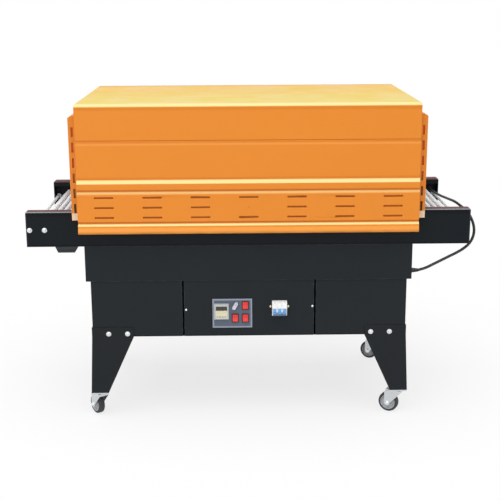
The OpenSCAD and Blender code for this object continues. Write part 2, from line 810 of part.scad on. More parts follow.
// Link cable: a round tube swept along the route, and a gland where it leaves each seat
cable_sides = 10;
cable_last = len(cable_points) - 1;
function unit(v) = v / norm(v);
function heading(i) =
    i == 0 ? [1, 0, 0] : i == cable_last ? [0, 1, 0] : unit(cable_points[i + 1] - cable_points[i - 1]);
function square_to(v, along) = unit(v - (v * along) * along);
function across(i) = i == 0 ? [0, 1, 0] : square_to(across(i - 1), heading(i));
function over(i) = cross(heading(i), across(i));
function cable_ring(i) = [
    for (k = [0 : cable_sides - 1])
        let (turn = k * 360 / cable_sides)
            cable_points[i] + cable_d / 2 * (cos(turn) * across(i) + sin(turn) * over(i))
];

module link_cable() {
    rings = [for (i = [0 : cable_last]) each cable_ring(i)];
    skin = [
        for (i = [0 : cable_last - 1], k = [0 : cable_sides - 1])
            let (a = i * cable_sides + k, b = i * cable_sides + (k + 1) % cable_sides)
                [a, b, b + cable_sides, a + cable_sides]
    ];
    first = [for (k = [cable_sides - 1 : -1 : 0]) k];
    last = [for (k = [0 : cable_sides - 1]) cable_last * cable_sides + k];
    color("#202224") polyhedron(rings, concat([first, last], skin));
}

module gland() { cylinder(h = gland_l, d1 = gland_d, d2 = cable_d + 3); }

module cable_glands() {
    color("#17181a") {
        translate(cable_start - [gland_l, 0, 0]) rotate([0, 90, 0]) gland();
        translate(cable_finish + [0, gland_l, 0]) rotate([90, 0, 0]) gland();
    }
}

to_front() rail();  // front_rail
rail();  // rear_rail
rail_ties();
conveyor_rollers();
conveyor_chains();
end_shafts();
infeed_tray();
hood_top_cover();
to_front() hood_wall();  // hood_front_wall
hood_wall();  // hood_rear_wall
to_front() vent_skirt();  // front_vent_skirt
vent_skirt();  // rear_vent_skirt
mirror([1, 0, 0]) end_jambs();  // left_end_jambs
end_jambs();  // right_end_jambs
mirror([1, 0, 0]) end_frame();  // left_end_frame
end_frame();  // right_end_frame
duct_plates();
tunnel_ceiling();
to_front() apron();  // front_apron
apron();  // rear_apron
apron_ends();
apron_floor();
to_front() side_panels();  // front_side_panels
control_panel();
rear_panels();
cabinet_ends();
cabinet_floor();
leg_at(caster_sides[0]);  // front_left_leg
leg_at(caster_sides[1]);  // front_right_leg
leg_at(caster_sides[2]);  // rear_right_leg
leg_at(caster_sides[3]);  // rear_left_leg
control_plate();
temperature_controller();
switch_rims();
rocker(1, 1);  // upper_rocker
rocker(0, 0);  // lower_left_rocker
rocker(1, 0);  // lower_right_rocker
speed_knob();
circuit_breaker();
breaker_lever();
caster_plates();
at_caster(0) fork();  // front_left_fork
at_caster(1) fork();  // front_right_fork
at_caster(2) fork();  // rear_right_fork
at_caster(3) fork();  // rear_left_fork
wheel(0);  // front_left_wheel
wheel(1);  // front_right_wheel
wheel(2);  // rear_right_wheel
wheel(3);  // rear_left_wheel
cable_glands();
link_cable();
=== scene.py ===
import json
import math

import bmesh
import bpy
from bpy.props import FloatProperty, FloatVectorProperty, PointerProperty
from mathutils import Matrix, Vector

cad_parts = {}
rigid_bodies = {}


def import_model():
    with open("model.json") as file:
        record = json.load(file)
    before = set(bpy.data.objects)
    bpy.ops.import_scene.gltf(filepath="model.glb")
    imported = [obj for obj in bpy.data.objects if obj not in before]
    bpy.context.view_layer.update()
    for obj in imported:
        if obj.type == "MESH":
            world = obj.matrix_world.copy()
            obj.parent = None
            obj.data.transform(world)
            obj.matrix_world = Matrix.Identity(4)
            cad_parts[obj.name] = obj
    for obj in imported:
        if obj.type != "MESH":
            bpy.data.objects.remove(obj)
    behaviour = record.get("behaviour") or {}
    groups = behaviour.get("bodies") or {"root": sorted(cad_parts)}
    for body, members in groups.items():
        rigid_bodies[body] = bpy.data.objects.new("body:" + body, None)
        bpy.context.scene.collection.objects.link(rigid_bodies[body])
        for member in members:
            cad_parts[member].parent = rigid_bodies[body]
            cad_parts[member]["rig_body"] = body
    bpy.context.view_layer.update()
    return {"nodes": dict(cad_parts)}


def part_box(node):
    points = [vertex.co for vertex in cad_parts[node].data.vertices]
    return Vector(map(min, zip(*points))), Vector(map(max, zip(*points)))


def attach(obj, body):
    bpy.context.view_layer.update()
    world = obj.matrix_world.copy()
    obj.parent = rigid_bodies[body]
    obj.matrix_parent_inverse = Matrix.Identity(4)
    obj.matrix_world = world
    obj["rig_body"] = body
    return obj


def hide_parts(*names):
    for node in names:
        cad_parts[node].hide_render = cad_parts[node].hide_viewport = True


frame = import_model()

bl_info = {
    "name": "Heat shrink tunnel",
    "version": (1, 0, 0),
    "blender": (4, 5, 0),
    "location": "View3D > Sidebar > Tunnel",
    "description": "Dresses the packed tunnel: paint, conveyor, fasteners, controls, casters and stage",
    "category": "Object",
}

NODES = frame["nodes"]
ROOT = "tunnel"
BOTH = (-1, 1)
UNDOABLE = {"REGISTER", "UNDO"}
# Edges that turn by more than this are sharp
SHARP = math.radians(20)

# The route of the link cable, as in the part's source
ROUTE_MM = (
    (616, -300, 558), (644, -299.8, 566.5), (672, -299.6, 580.1), (700, -299.4, 594.4),
    (728, -299.2, 608.7), (756, -299, 623), (782, -297, 639), (801, -294, 656), (812, -291, 675),
    (817, -288, 696), (816, -284, 717), (810, -278, 738), (800, -269, 758), (786, -251.2, 774),
    (774, -222.4, 783), (768, -187.8, 786), (765, -147.5, 784), (765, -95.7, 778), (765, -43.8, 772),
    (765, 8, 766), (765, 59.8, 760), (765, 111.7, 755), (765, 163.5, 750), (765, 215.4, 746),
    (765, 255.7, 743), (765, 296, 742),
)
CABLE_ROUTE = [Vector(at) / 1000 for at in ROUTE_MM]

# Casters: the sides they stand on and the angle in degrees at which each was left standing
CASTERS = {
    "front_left": (-1, -1, 126), "front_right": (1, -1, 152),
    "rear_right": (1, 1, 150), "rear_left": (-1, 1, 146),
}
# Distance of a caster's swivel axis from the middle, along X and Y
STEM = (0.5555, 0.289)

# Heights of the hood's up-facing slopes that get a painted highlight: the crown with its share, the ledge and
# the shoulder
HOOD_HIGHLIGHTS = (
    (0.858, 0.865, 0.867, 0.871, 0.6), (0.895, 0.899, 0.907, 0.912), (0.7455, 0.7490, 0.7525, 0.7565),
)
# Heights between which painted shade makes the hood darker, with the share: the seam, the cover's edge and
# the grooves
HOOD_SHADE_LINES = (
    (1.0395, 1.0425, 1.048, 1.050, 0.7), (1.148, 1.156, 1.160, 1.163, 0.5), (0.911, 0.914, 0.917, 0.921, 0.5),
    (0.867, 0.871, 0.876, 0.879, 0.9), (0.7555, 0.758, 0.762, 0.764, 0.9),
)


def srgb(red, green, blue):
    """A colour as it is read off a screen, 0 to 255, in the linear values that shaders take."""
    def linear(value):
        value /= 255
        return value / 12.92 if value <= 0.04045 else ((value + 0.055) / 1.055) ** 2.4
    return tuple(linear(value) for value in (red, green, blue))


def tint(colour, *factors):
    """A colour with a factor of its own for red, green and blue."""
    return tuple(min(1.0, value * factor) for value, factor in zip(colour, factors))


def shade(colour, factor):
    """A colour made lighter or darker by a factor."""
    return tint(colour, factor, factor, factor)


def colour_property(label, text, default):
    """A colour that a user would change."""
    return FloatVectorProperty(
        name=label, description=text, subtype="COLOR", size=3, min=0, max=1, default=default)


def length_property(label, text, default):
    """A length that a user would change."""
    return FloatProperty(
        name=label, description=text, subtype="DISTANCE", unit="LENGTH", min=0, default=default)


def number_property(label, text, default, subtype="NONE"):
    """An angle, a power or a plain number that a user would change."""
    return FloatProperty(name=label, description=text, subtype=subtype, default=default)


class TunnelColours(bpy.types.PropertyGroup):
    """Colours of the finishes."""
    hood: colour_property("Hood", "Powder coat of the hood and its end frames", srgb(231, 137, 37))
    # The bleached hood colour is painted light: what faces up is lighter because light falls on it from above
    painted_top_light: colour_property("Bleached hood", "Hood paint that faces up and has faded", srgb(229, 191, 60))
    rail: colour_property("Rails", "Paint on the faces of the side rails", srgb(17, 23, 28))
    rail_top: colour_property("Rail tops", "Red-brown primer on top of the rails", srgb(86, 40, 42))
    cabinet: colour_property("Cabinet", "Paint on the apron and the cabinet", srgb(30, 35, 39))
    leg: colour_property("Legs", "Paint on the legs", srgb(27, 31, 34))
    worn: colour_property("Worn edges", "Bare metal that shows along worn edges", srgb(150, 154, 160))
    plate: colour_property("Control plate", "Paint on the control plate", srgb(88, 99, 114))
    bezel: colour_property("Controller", "Housing of the temperature controller", srgb(190, 194, 192))
    keypad: colour_property("Keypad", "Field under the controller's display", srgb(222, 214, 184))
    rocker: colour_property("Rockers", "Red plastic of the rockers", srgb(226, 30, 20))
    knob: colour_property("Speed knob", "Plastic of the speed knob", srgb(206, 204, 220))
    breaker: colour_property("Breaker", "Housing of the circuit breaker", srgb(250, 250, 248))
    lever: colour_property("Breaker lever", "Toggles of the circuit breaker", srgb(104, 162, 218))
    tyre: colour_property("Tyres", "Rubber of the caster wheels", srgb(52, 54, 57))
    hub: colour_property("Hubs", "Plastic hubs of the caster wheels", srgb(186, 190, 194))


class TunnelSizes(bpy.types.PropertyGroup):
    """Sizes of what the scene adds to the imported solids."""
    hood_edge: length_property("Hood edges", "Rounding of the hood's cut edges", 0.0018)
    sheet_edge: length_property("Sheet edges", "Rounding of cut sheet edges", 0.0007)
    rail_fold: length_property("Rail folds", "Radius of the rails' folded edges", 0.003)
    roller: length_property("Roller diameter", "Diameter of a conveyor roller", 0.018)
    roller_length: length_property("Roller length", "Length of a conveyor roller", 0.580)
    loop_radius: length_property("Loop radius", "Radius of the chain round the end shafts", 0.022)
    shaft_x: length_property("Shaft distance", "Distance of an end shaft from the middle", 0.728)
    shaft_z: length_property("Shaft height", "Height of the end shafts", 0.724)
    chain_y: length_property("Chain distance", "Distance of a chain from the middle", 0.296)
    link_pitch: length_property("Link pitch", "Distance between the pins of a chain", 0.0127)
    bolt_head: length_property("Bolt head", "Radius over the corners of a bolt's head", 0.0066)
    washer: length_property("Washer", "Radius of the washer under a bolt", 0.0092)
    screw_head: length_property("Screw head", "Radius of a panel screw's head", 0.0042)
    cable: length_property("Cable diameter", "Diameter of the link cable", 0.010)
    cable_length: length_property("Cable length", "Length of the link cable between its glands", 0.905)


class TunnelStage(bpy.types.PropertyGroup):
    """The camera, the light and the floor."""
    camera_at: FloatVectorProperty(
        name="Camera", description="Place of the camera", subtype="TRANSLATION", unit="LENGTH", size=3,
        default=(-0.0474, -3.8987, 1.5515))
    pitch: number_property("Pitch", "How far the camera looks down", 0.2484, "ANGLE")
    yaw: number_property("Yaw", "How far the camera looks to the right", 0.0144, "ANGLE")
    roll: number_property("Roll", "How far the camera is tipped", -0.0051, "ANGLE")
    lens: number_property("Lens", "Focal length on a 36 mm sensor, in mm", 73.905)
    floor: colour_property("Floor", "Colour of the floor", (0.90, 0.90, 0.90))
    sky: number_property("Surround", "Strength of the light from all round", 0.40)
    overhead: number_property("Overhead", "Strength of the soft light overhead", 2.25)
    front: number_property("Front", "Power of the lamp beside the camera", 32, "POWER")


# Finishes
class Tree:
    """A node tree, with short calls for the nodes in it."""

    def __init__(self, tree):
        self.tree = tree

    def add(self, kind, inputs=(), **settings):
        """A node with its settings and inputs. A list links several sockets to one input."""
        node = self.tree.nodes.new(kind)
        for key, value in settings.items():
            setattr(node, key, value)
        for key, value in dict(inputs).items():
            for item in value if isinstance(value, list) else [value]:
                self.feed(node.inputs[key], item)
        return node

    def feed(self, socket, value):
        """Links another socket to an input, or sets its value."""
        if isinstance(value, bpy.types.NodeSocket):
            self.tree.links.new(value, socket)
        else:
            socket.default_value = value

    def calc(self, operation, first, *others):
        """A sum, a product or such of two or more values."""
        for value in others:
            first = self.add("ShaderNodeMath", {0: first, 1: value}, operation=operation).outputs[0]
        return first

    def product(self, *values):
        """The product of two or more values."""
        return self.calc("MULTIPLY", *values)

    def seen(self):
        """1 for rays from the camera, and for those that metal and glass send on."""
        rays = self.add("ShaderNodeLightPath").outputs
        kinds = ("Is Camera Ray", "Is Glossy Ray", "Is Transmission Ray")
        return self.calc("MAXIMUM", *(rays[kind] for kind in kinds))


class Finish(Tree):
    """One material: a Principled shader, with short calls for the textures that the finishes share."""

    made = {}

    def __init__(self, name, colour, roughness, **sockets):
        material = bpy.data.materials.new(name)
        material.use_nodes = True
        super().__init__(material.node_tree)
        self.shader = self.tree.nodes["Principled BSDF"]
        self.set("Base Color", (*colour[:3], 1))
        self.set("Roughness", roughness)
        for socket, value in sockets.items():
            self.set(socket.replace("_", " "), value)
        self.place = self.add("ShaderNodeTexCoord").outputs["Object"]
        self.made[name] = material

    def set(self, socket, value):
        """Sets one of the shader's own sockets, or links a texture to it."""
        self.feed(self.shader.inputs[socket], value)

    def cover(self, share, colour):
        """Lays a colour over the one that reaches the shader so far."""
        so_far = self.shader.inputs["Base Color"].links[0].from_socket
        self.set("Base Color", self.blend(share, so_far, colour))

    def noise(self, scale, detail, stretch=(1, 1, 1)):
        """Noise on object coordinates, from 0 to 1."""
        spread = self.add("ShaderNodeMapping", {"Vector": self.place, "Scale": stretch})
        return self.add("ShaderNodeTexNoise", {
            "Vector": spread.outputs["Vector"], "Scale": scale, "Detail": detail}).outputs["Fac"]

    def cells(self, scale):
        """A colour for each of many cells, as a grey from 0 to 1."""
        node = self.add("ShaderNodeTexVoronoi", {"Vector": self.place, "Scale": scale})
        return self.add("ShaderNodeSeparateColor", {"Color": node.outputs["Color"]}).outputs[0]

    def axis(self, letter):
        """One object coordinate."""
        return self.add("ShaderNodeSeparateXYZ", {"Vector": self.place}).outputs[letter]

    def off(self, letter, middle=0.0):
        """The distance from a middle along one axis."""
        return self.calc("ABSOLUTE", self.calc("SUBTRACT", self.axis(letter), middle), 0.0)

    def upward(self, low=0.6, high=0.95):
        """1 on faces that look up, 0 on the others."""
        normal = self.add("ShaderNodeTexCoord").outputs["Normal"]
        return self.band(self.add("ShaderNodeSeparateXYZ", {"Vector": normal}).outputs["Z"], low, high)

    def band(self, value, low, high, first=0.0, last=1.0):
        """Maps a value between two limits smoothly to another pair."""
        return self.add("ShaderNodeMapRange", {
            "Value": value, "From Min": low, "From Max": high, "To Min": first, "To Max": last,
        }, interpolation_type="SMOOTHSTEP").outputs["Result"]

    def within(self, value, low, start, stop, high, share=1.0):
        """The share between the middle limits, falling to 0 at the outer ones."""
        return self.product(self.band(value, low, start), self.band(value, stop, high, share, 0.0))

    def blend(self, factor, first, second):
        """A colour between two colours."""
        first, second = (colour if isinstance(colour, bpy.types.NodeSocket) else (*colour[:3], 1)
                         for colour in (first, second))
        return self.add("ShaderNodeMix", {0: factor, 6: first, 7: second}, data_type="RGBA").outputs[2]

    def mottled(self, colour, scale, detail, low, high):
        """A colour that drifts between two shades of itself."""
        return self.blend(self.noise(scale, detail), shade(colour, low), shade(colour, high))

    def bump(self, height, distance):
        """Raises the surface by a texture, in metres."""
        node = self.add("ShaderNodeBump", {"Height": height, "Distance": distance})
        self.set("Normal", node.outputs["Normal"])


def painted(name, colour, roughness, dust=0.1, drift=0.05, worn=None, coat=0.0, specular=0.5):
    """Sprayed paint: orange peel, drift in tone, dust on what faces up, and bare metal where it is worn."""
    finish = Finish(
        name, colour, roughness, Coat_Weight=coat, Coat_Roughness=0.18, Specular_IOR_Level=specular)
    finish.set("Base Color", finish.mottled(colour, 3.1, 3, 1 - drift, 1 + drift))
    finish.cover(finish.band(finish.noise(260, 2), 0.35, 0.75, 0.0, 0.35), shade(colour, 1 - drift * 1.6))
    patches = finish.band(finish.noise(17, 4), 0.38, 0.72, 0.0, dust)
    finish.cover(finish.product(finish.upward(), patches), srgb(214, 208, 194))
    if worn:
        finish.cover(finish.band(finish.noise(48, 4), 0.44, 0.60, 0.0, 0.75), worn)
    finish.set("Roughness", finish.band(finish.noise(9, 3), 0.3, 0.7, roughness - 0.05, roughness + 0.07))
    finish.bump(finish.noise(420, 1.5), 0.00010)
    return finish


def plated(name, colour, roughness, grain=(1, 1, 1), spread=0.08, cells=0.0, metal=1.0):
    """Bright metal: scratches along the grain, patches of duller plating, and crystals on sheet."""
    finish = Finish(name, colour, roughness, Metallic=metal)
    finish.set("Base Color", finish.mottled(colour, 14, 4, 0.86, 1.06))
    if cells:
        finish.cover(finish.product(finish.cells(cells), 0.35), shade(colour, 0.62))
    scratches = finish.noise(90, 5, grain)
    finish.set("Roughness", finish.band(scratches, 0.3, 0.72, roughness - spread, roughness + spread))
    finish.bump(scratches, 0.00004)


def moulded(name, colour, roughness, grain=900.0, coat=0.0, soil=0.12):
    """Moulded plastic or rubber: a fine grain, slight mottling and a film of soil."""
    finish = Finish(name, colour, roughness, Coat_Weight=coat, Coat_Roughness=0.12)
    finish.set("Base Color", finish.mottled(colour, 60, 3, 0.93, 1.05))
    finish.cover(finish.band(finish.noise(110, 4), 0.5, 0.75, 0.0, soil), shade(colour, 0.55))
    finish.set("Roughness", finish.band(finish.noise(240, 2), 0.3, 0.7, roughness - 0.06, roughness + 0.08))
    finish.bump(finish.noise(grain, 2), 0.00003)


def shaded(finish, colour):
    """Painted shade in the vent slots, the seam, under the cover's edge and in the grooves, and a painted
    glare under the cover.
    """
    height = finish.axis("Z")
    # Painted shade inside the vent slots
    recess = finish.band(finish.off("Y"), 0.3724, 0.3736, 1.0, 0.0)
    slots = finish.product(finish.within(height, 0.764, 0.766, 0.856, 0.858), recess)
    finish.cover(slots, tint(colour, 0.66, 0.56, 0.2))
    # Painted highlight: a glare line just under the cover
    finish.cover(finish.within(height, 1.029, 1.033, 1.036, 1.039, 0.28), srgb(255, 182, 96))
    # Painted shade along the seam, under the cover's edge and in the grooves
    shade_lines = finish.calc("MAXIMUM", *(finish.within(height, *limits) for limits in HOOD_SHADE_LINES))
    finish.cover(shade_lines, tint(colour, 0.80, 0.72, 0.3))


def painted_top_light(finish, pale):
    """Painted light on the hood: painted highlights on the up-facing ledge, crown and shoulder and on the
    cover's brow, and a top that is painted lighter.
    """
    height = finish.axis("Z")
    across = finish.axis("Y")
    edge = srgb(248, 222, 148)
    slopes = finish.calc("MAXIMUM", *(finish.within(height, *limits) for limits in HOOD_HIGHLIGHTS))
    brow = finish.band(height, 1.162, 1.166)
    # Painted highlight on the slopes as they face up, and on the cover's rounded brow
    finish.cover(finish.calc("MAXIMUM", finish.product(slopes, finish.upward(0.16, 0.42)), brow), edge)
    # Painted light on the top: lighter at the front and more orange towards the back, with faint streaks, a
    # painted highlight along the front rim and painted shade along the back rim
    near, far = tint(pale, 0.94, 1.04, 1.0), tint(pale, 0.97, 0.84, 0.1)
    lit_top = finish.blend(finish.band(across, -0.30, 0.30), near, far)
    streaks = finish.noise(1.6, 2, (0.4, 3, 1))
    for value, limits, colour in (
        (streaks, (0.35, 0.75, 0.0, 0.10), edge),
        (across, (-0.346, -0.328, 1.0, 0.0), edge),
        (across, (0.304, 0.340, 0.0, 0.6), srgb(200, 126, 44)),
    ):
        lit_top = finish.blend(finish.band(value, *limits), lit_top, colour)
    finish.cover(finish.product(finish.upward(0.90, 0.99), brow), lit_top)


def hood_finishes(colours):
    """Orange coats: the hood with painted light and shade, the end frames, the strips behind their slots in
    painted shade, and their edges with wear and a painted highlight.
    """
    orange = colours.hood
    hood = painted("orange_powder_coat", orange, 0.40, dust=0.0, drift=0.035, coat=0.06, specular=0.3)
    shaded(hood, orange)
    painted_top_light(hood, colours.painted_top_light)
    height = hood.axis("Z")
    # Painted highlight: the flare at the bottom, which faces partly up, is lighter
    hood.cover(hood.band(height, 0.739, 0.745, 0.5, 0.0), srgb(255, 176, 84))
    # Darker towards the bottom edge, in streaks
    low_streaks = hood.band(hood.noise(31, 5, (0.4, 1, 2.5)), 0.3, 0.75, 0.55, 0.9)
    hood.cover(hood.product(hood.band(height, 0.720, 0.732, 1.0, 0.0), low_streaks), shade(orange, 0.42))

    frames = painted("orange_frame_coat", shade(orange, 0.92), 0.42, dust=0.06, specular=0.3)
    chips = frames.band(frames.noise(40, 3), 0.2, 0.5, 0.55, 1.0)
    foot = frames.band(frames.axis("Z"), 0.785, 0.792, 1.0, 0.0)
    frames.cover(frames.product(foot, chips), srgb(232, 208, 176))

    # Painted shade: the strips behind the frames' slots take a darker orange, lighter near the top and near
    # black low down
    returns = painted("orange_return_coat", shade(orange, 0.45), 0.5, dust=0.0, drift=0.08, specular=0.2)
    height = returns.axis("Z")
    returns.cover(returns.band(height, 0.88, 0.96), tint(orange, 0.72, 0.36, 0.3))
    returns.cover(returns.band(height, 0.80, 0.92, 0.8, 0.0), shade(orange, 0.06))
    # Edge coat of the end frames: a lighter orange with pale worn patches, partly wear and partly a painted
    # highlight
    painted("orange_worn_edge", shade(orange, 1.05), 0.34, dust=0.0, worn=srgb(246, 196, 120), coat=0.1)


def rail_finishes(colours):
    """Dark paint of the rails with primer on top and painted shade along the bottom and under the top edge,
    and their edges, worn to bare metal and partly painted as a highlight, with painted shade along the bottom
    fold.
    """
    painted_rail_shade = shade(colours.rail, 0.15)
    rails = painted("rail_charcoal", colours.rail, 0.46, dust=0.05, specular=0.14)
    height = rails.axis("Z")
    rails.cover(rails.band(height, 0.7888, 0.7896), rails.mottled(colours.rail_top, 26, 4, 0.75, 1.2))
    # Painted shade along the bottom fold and just under the top edge
    foot = rails.band(height, 0.664, 0.674, 0.85, 0.0)
    rails.cover(rails.calc("MAXIMUM", foot, rails.within(height, 0.768, 0.780, 0.784, 0.786, 0.6)), painted_rail_shade)

    edge = painted("rail_worn_edge", shade(colours.rail, 1.25), 0.42, dust=0.0, specular=0.25)
    height = edge.axis("Z")
    top = edge.band(height, 0.7845, 0.7865)
    outer = edge.band(edge.off("Y"), 0.316, 0.320)
    inner = edge.product(top, edge.calc("SUBTRACT", 1.0, outer))
    edge.cover(inner, edge.mottled(colours.rail_top, 26, 4, 0.6, 1.0))
    # A pale line along the outer top fold, partly worn to bare metal and partly a painted highlight
    worn_and_lit = edge.band(edge.noise(33, 4, (0.3, 1, 1)), 0.25, 0.5, 0.35, 0.85)
    edge.cover(edge.product(top, outer, worn_and_lit), colours.worn)
    # Painted shade along the bottom fold
    edge.cover(edge.band(height, 0.668, 0.674, 0.85, 0.0), painted_rail_shade)


def stand_finishes(colours):
    """Dark paint of the cabinet, the legs and the tray, with painted shade along the cabinet's bottom edge
    and the tray's lower edge, and the control plate with its pale border.
    """
    dark = colours.cabinet
    cabinet = painted("cabinet_charcoal", dark, 0.50, dust=0.06, drift=0.08, specular=0.16)
    # Painted shade along the cabinet's bottom edge
    cabinet.cover(cabinet.band(cabinet.axis("Z"), 0.320, 0.328, 0.8, 0.0), shade(dark, 0.2))
    painted("cabinet_worn_edge", shade(dark, 1.5), 0.42, worn=shade(colours.worn, 0.35), specular=0.4)
    painted("leg_charcoal", colours.leg, 0.48, dust=0.06, drift=0.08, specular=0.18)
    tray = painted("tray_charcoal", shade(dark, 1.6), 0.45, dust=0.25, specular=0.35)
    # Painted shade along the tray's lower edge
    tray.cover(tray.within(tray.axis("Z"), 0.6470, 0.6485, 0.6510, 0.6525, 0.8), shade(dark, 0.3))

    control = painted("control_plate_paint", colours.plate, 0.40, dust=0.0, drift=0.06, specular=0.4)
    low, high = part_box("control_plate")
    middle, reach = (low + high) / 2, (high - low) / 2
    border = [control.band(control.off(letter, middle[i]), reach[i] - 0.0062, reach[i] - 0.0054, 0.0, 0.55)
              for i, letter in ((0, "X"), (2, "Z"))]
    control.cover(control.calc("MAXIMUM", *border), srgb(176, 182, 200))


def make_finishes(colours):
    """All the finishes of the tunnel, by name."""
    hood_finishes(colours)
    rail_finishes(colours)
    stand_finishes(colours)

    plated("roller_steel", (0.93, 0.94, 0.95), 0.32, grain=(2.0, 0.12, 2.0), metal=0.3)
    plated("chain_steel", (0.36, 0.37, 0.38), 0.40)
    plated("lining_galvanised", (0.62, 0.64, 0.65), 0.42, spread=0.06, cells=95.0)
    plated("bright_zinc", (0.84, 0.85, 0.86), 0.30)
    plated("fork_zinc", (0.66, 0.68, 0.70), 0.34, spread=0.1)
    plated("brass_screw", (0.74, 0.63, 0.50), 0.34)

    moulded("controller_housing", colours.bezel, 0.42)
    moulded("controller_keypad", colours.keypad, 0.55, soil=0.2)
    moulded("controller_keys", shade(colours.bezel, 0.72), 0.46)
    moulded("display_window", srgb(44, 38, 34), 0.16, coat=0.5, soil=0.3)
    moulded("black_plastic", srgb(22, 22, 24), 0.38)
    moulded("rocker_red", colours.rocker, 0.26, coat=0.4)
    moulded("knob_plastic", colours.knob, 0.32, coat=0.2)
    moulded("knob_skirt", shade(colours.plate, 0.8), 0.4)
    moulded("knob_mark", srgb(60, 60, 66), 0.4)
    moulded("breaker_housing", colours.breaker, 0.44, soil=0.06)
    moulded("breaker_well", srgb(150, 152, 154), 0.5)
    moulded("lever_blue", colours.lever, 0.36)
    moulded("lever_barrel", srgb(196, 218, 240), 0.4)
    moulded("lever_bar", shade(colours.lever, 0.45), 0.36)
    moulded("tyre_rubber", colours.tyre, 0.62, grain=500.0, soil=0.25)
    moulded("hub_plastic", colours.hub, 0.44)
    moulded("cable_rubber", srgb(30, 31, 33), 0.46, grain=700.0, soil=0.2)


# Meshes
def placed(name, data, finishes=()):
    """A new object at the origin with its finishes."""
    for finish in finishes:
        data.materials.append(Finish.made[finish])
    piece = bpy.data.objects.new(name, data)
    bpy.context.scene.collection.objects.link(piece)
    return piece


def settled(piece, closed=False):
    """Makes what a piece's modifiers give its plain mesh. A closed one is cleaned and shaded anew."""
    graph = bpy.context.evaluated_depsgraph_get()
    mesh = bpy.data.meshes.new_from_object(piece.evaluated_get(graph))
    piece.modifiers.clear()
    plain, piece.data = piece.data, mesh
    bpy.data.meshes.remove(plain)
    if closed:
        shell = bmesh.new()
        shell.from_mesh(mesh)
        bmesh.ops.remove_doubles(shell, verts=shell.verts, dist=2e-6)
        bmesh.ops.recalc_face_normals(shell, faces=shell.faces)
        shell.to_mesh(mesh)
        shell.free()
        mesh.shade_smooth()
        mesh.set_sharp_from_angle(angle=SHARP)
    return piece


def joined(piece, body, slot, *nodes):
    """Lets a piece ride on its body and hides the CAD nodes that it stands for; slot is not used."""
    if not piece.data.polygons:
        raise RuntimeError(f"{piece.name} came out empty")
    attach(piece, body)
    if nodes:
        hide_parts(*nodes)


def merged(node):
    """A CAD node's triangles as one skin, with flat faces joined."""
    source = NODES[node].data
    skin = bmesh.new()
    corners = [skin.verts.new(vertex.co) for vertex in source.vertices]
    for face in source.polygons:
        skin.faces.new([corners[i] for i in face.vertices])
    bmesh.ops.remove_doubles(skin, verts=skin.verts, dist=2e-5)
    bmesh.ops.dissolve_limit(skin, angle_limit=math.radians(0.4), verts=skin.verts, edges=skin.edges)
    return skin


def weigh(skin, width, folds=None):
    """Marks the sharp edges of a skin for rounding. folds may give an edge a radius of its own."""
    layer = skin.edges.layers.float.new("bevel_weight_edge")
    radii = {}
    for edge in skin.edges:
        if len(edge.link_faces) == 2 and edge.calc_face_angle(0.0) > SHARP:
            radii[edge] = (folds and folds(edge.verts[0].co, edge.verts[1].co)) or width
    widest = max(radii.values())
    for edge, radius in radii.items():
        edge[layer] = radius / widest
    return widest


def rounded(piece, width, segments, edge_finish=None):
    """Rounds a piece's weighted edges and keeps its flat faces flat."""
    bevel = piece.modifiers.new("Rounding", "BEVEL")
    bevel.limit_method = "WEIGHT"
    bevel.width = width
    bevel.segments = segments
    bevel.use_clamp_overlap = False
    bevel.material = 1 if edge_finish else -1
    piece.modifiers.new("Flat faces", "WEIGHTED_NORMAL").keep_sharp = False
    piece.data.shade_smooth()
    settled(piece)


def as_mesh(skin, name):
    """A skin as a mesh; the skin is freed."""
    mesh = bpy.data.meshes.new(name)
    skin.to_mesh(mesh)
    skin.free()
    return mesh


def softened(node, width, finish, slot, edge=None, segments=2, folds=None):
    """A copy of a CAD node with its edges rounded, which stands for it."""
    skin = merged(node)
    widest = weigh(skin, width, folds)
    name = node + "_skin"
    piece = placed(name, as_mesh(skin, name), [finish, edge] if edge else [finish])
    rounded(piece, widest, segments, edge)
    joined(piece, NODES[node]["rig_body"], slot, node)


def same(first, second):
    """Whether two places along an axis are the same, in metres."""
    return abs(first - second) < 1e-4


